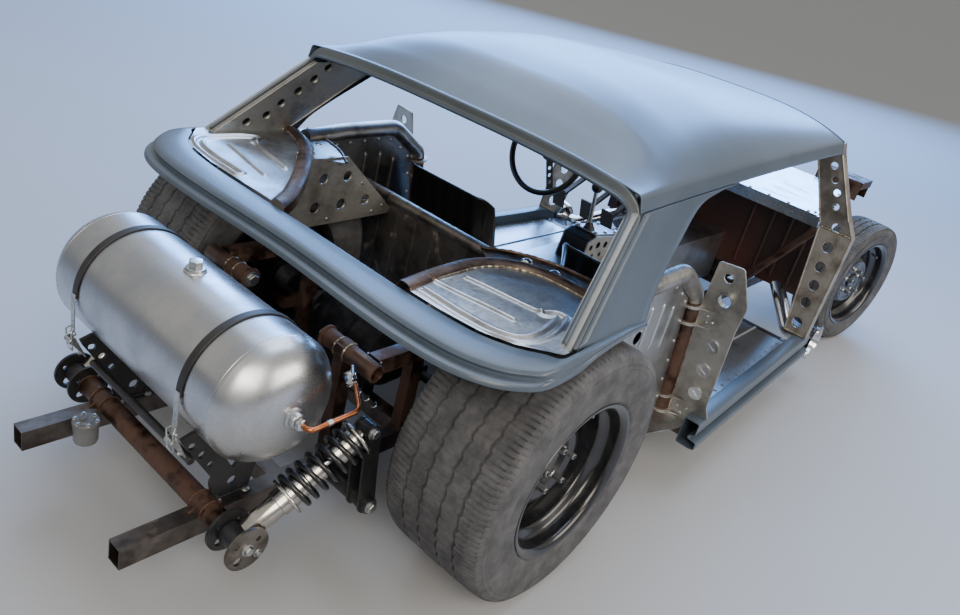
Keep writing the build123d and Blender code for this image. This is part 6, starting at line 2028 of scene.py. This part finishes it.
@dataclass
class Studio:
    """Pale floor, sky light, soft boxes, and the camera at the photograph's viewing angle."""

    camera_at: tuple = (-2.4635, -1.3226, 1.4483)
    right: tuple = (0.6449, -0.7282, 0.2319)
    down: tuple = (-0.1991, -0.4531, -0.8690)
    view: tuple = (0.7378, 0.5143, -0.4372)
    lens: float = 30.565
    sensor: float = 36.0
    floor_size: float = 60.0
    flat_size: float = 14.0    # the floor is level up to here, then curves up
    curve: float = 0.004
    rings: int = 60
    steps: int = 72
    floor_colour: str = "#a3a5a8"
    sky_colour: str = "#e7e4df"
    sky_strength: float = 0.72

    def floor(self) -> None:
        """A level disc whose far part curves up, so that no horizon shows."""
        reach = np.linspace(0.5, self.floor_size, self.rings)[:, None]
        turn = np.linspace(0, 2 * np.pi, self.steps, endpoint=False)[None]
        height = self.curve * np.clip(reach - self.flat_size, 0, None) ** 2 + 0 * turn
        points = np.stack([reach * np.cos(turn), reach * np.sin(turn), height], -1).reshape(-1, 3)
        k = np.arange(self.rings - 1)[:, None] * self.steps
        j = np.arange(self.steps)[None]
        after = (j + 1) % self.steps
        faces = np.stack([k + j, k + self.steps + j, k + self.steps + after, k + after], -1)
        mesh = bpy.data.meshes.new("floor")
        mesh.from_pydata(points.tolist(), [],
                         faces.reshape(-1, 4).tolist() + [list(range(self.steps))])
        floor = bpy.data.objects.new("floor", mesh)
        bpy.context.scene.collection.objects.link(floor)
        # Painted concrete: even and matte, so it only catches soft shadows
        paint = bpy.data.materials.new("pale_floor")
        paint.use_nodes = True
        shader = paint.node_tree.nodes["Principled BSDF"]
        shader.inputs["Base Color"].default_value = linear(self.floor_colour)
        shader.inputs["Roughness"].default_value = 0.75
        mesh.materials.append(paint)

    def build(self) -> None:
        """Makes the floor, the sky light, the soft boxes and the camera."""
        self.floor()
        world = bpy.data.worlds.new("soft_sky")
        world.use_nodes = True
        bpy.context.scene.world = world
        sky = world.node_tree.nodes["Background"]
        sky.inputs["Color"].default_value = linear(self.sky_colour)
        sky.inputs["Strength"].default_value = self.sky_strength
        for box in SOFT_BOXES:
            box.build()
        self.camera()

    def camera(self) -> None:
        """The photograph's camera: its axes are the picture's right, up and backwards."""
        data = bpy.data.cameras.new("camera")
        data.lens, data.sensor_width, data.clip_end = self.lens, self.sensor, 100.0
        eye = bpy.data.objects.new("camera", data)
        rows = [[self.right[k], -self.down[k], -self.view[k], self.camera_at[k]] for k in range(3)]
        eye.matrix_world = Matrix(rows + [[0, 0, 0, 1]])
        bpy.context.scene.collection.objects.link(eye)
        bpy.context.scene.camera = eye


WHEELBASE, REAR_Y, FRONT_Y = 2549, 561, 531.75     # Y of the wheels' middle planes
TURN_X = 13.72                                     # how far the turned front wheels move along X
TURN_OUT = (0.1805, 0.9836)                        # X and Y of the way out along their axle


def main() -> None:
    """Builds the studio and every sub-assembly in order."""
    logging.basicConfig(level=logging.INFO, format="%(name)s: %(message)s")
    Studio().build()
    dress_nodes()
    HardTop().build()
    TailBand().build()
    for each in Side:
        WheelTub(each).build()
        QuarterPanel(each).build()
        CentrePost(each).build()
        FrontPillar(each).build()
        Rocker(each).build()
        Seat(each).build()
    PillarChannels().build()
    ExhaustHorns().build()
    FuelTank().build()
    TankStraps().build()
    TankCradle().build()
    FuelLine().build()
    Canister().build()
    Crossbar().build()
    ShockMounts().build()
    RearLinks().build()
    CowlTrim().build()
    CabinFloor().build()
    GearShift().build()
    for side, sign in (("left", 1), ("right", -1)):
        Coilover(f"rear_coilover_{side}", f"coilover_{side}", side_by_side(COIL_LOW, sign),
                 side_by_side(COIL_HIGH, sign)).build()
        Wheel(f"rear_{side}", f"rear_{side}_wheel", (0, REAR_Y * sign, 336), (0, sign, 0),
              tyre_r=336, tyre_half=149, rim_half=144, hub=64,
              grooves=(-0.62, -0.22, 0.22, 0.62)).build()
        Wheel(f"front_{side}", f"front_{side}_wheel",
              (WHEELBASE + TURN_X * sign, FRONT_Y * sign, 290),
              (TURN_OUT[0] * sign, TURN_OUT[1] * sign, 0.0), tyre_r=290, tyre_half=84,
              rim_half=77, hub=35, grooves=(-0.45, 0.0, 0.45), stations=600).build()


if __name__ == "__main__":
    main()
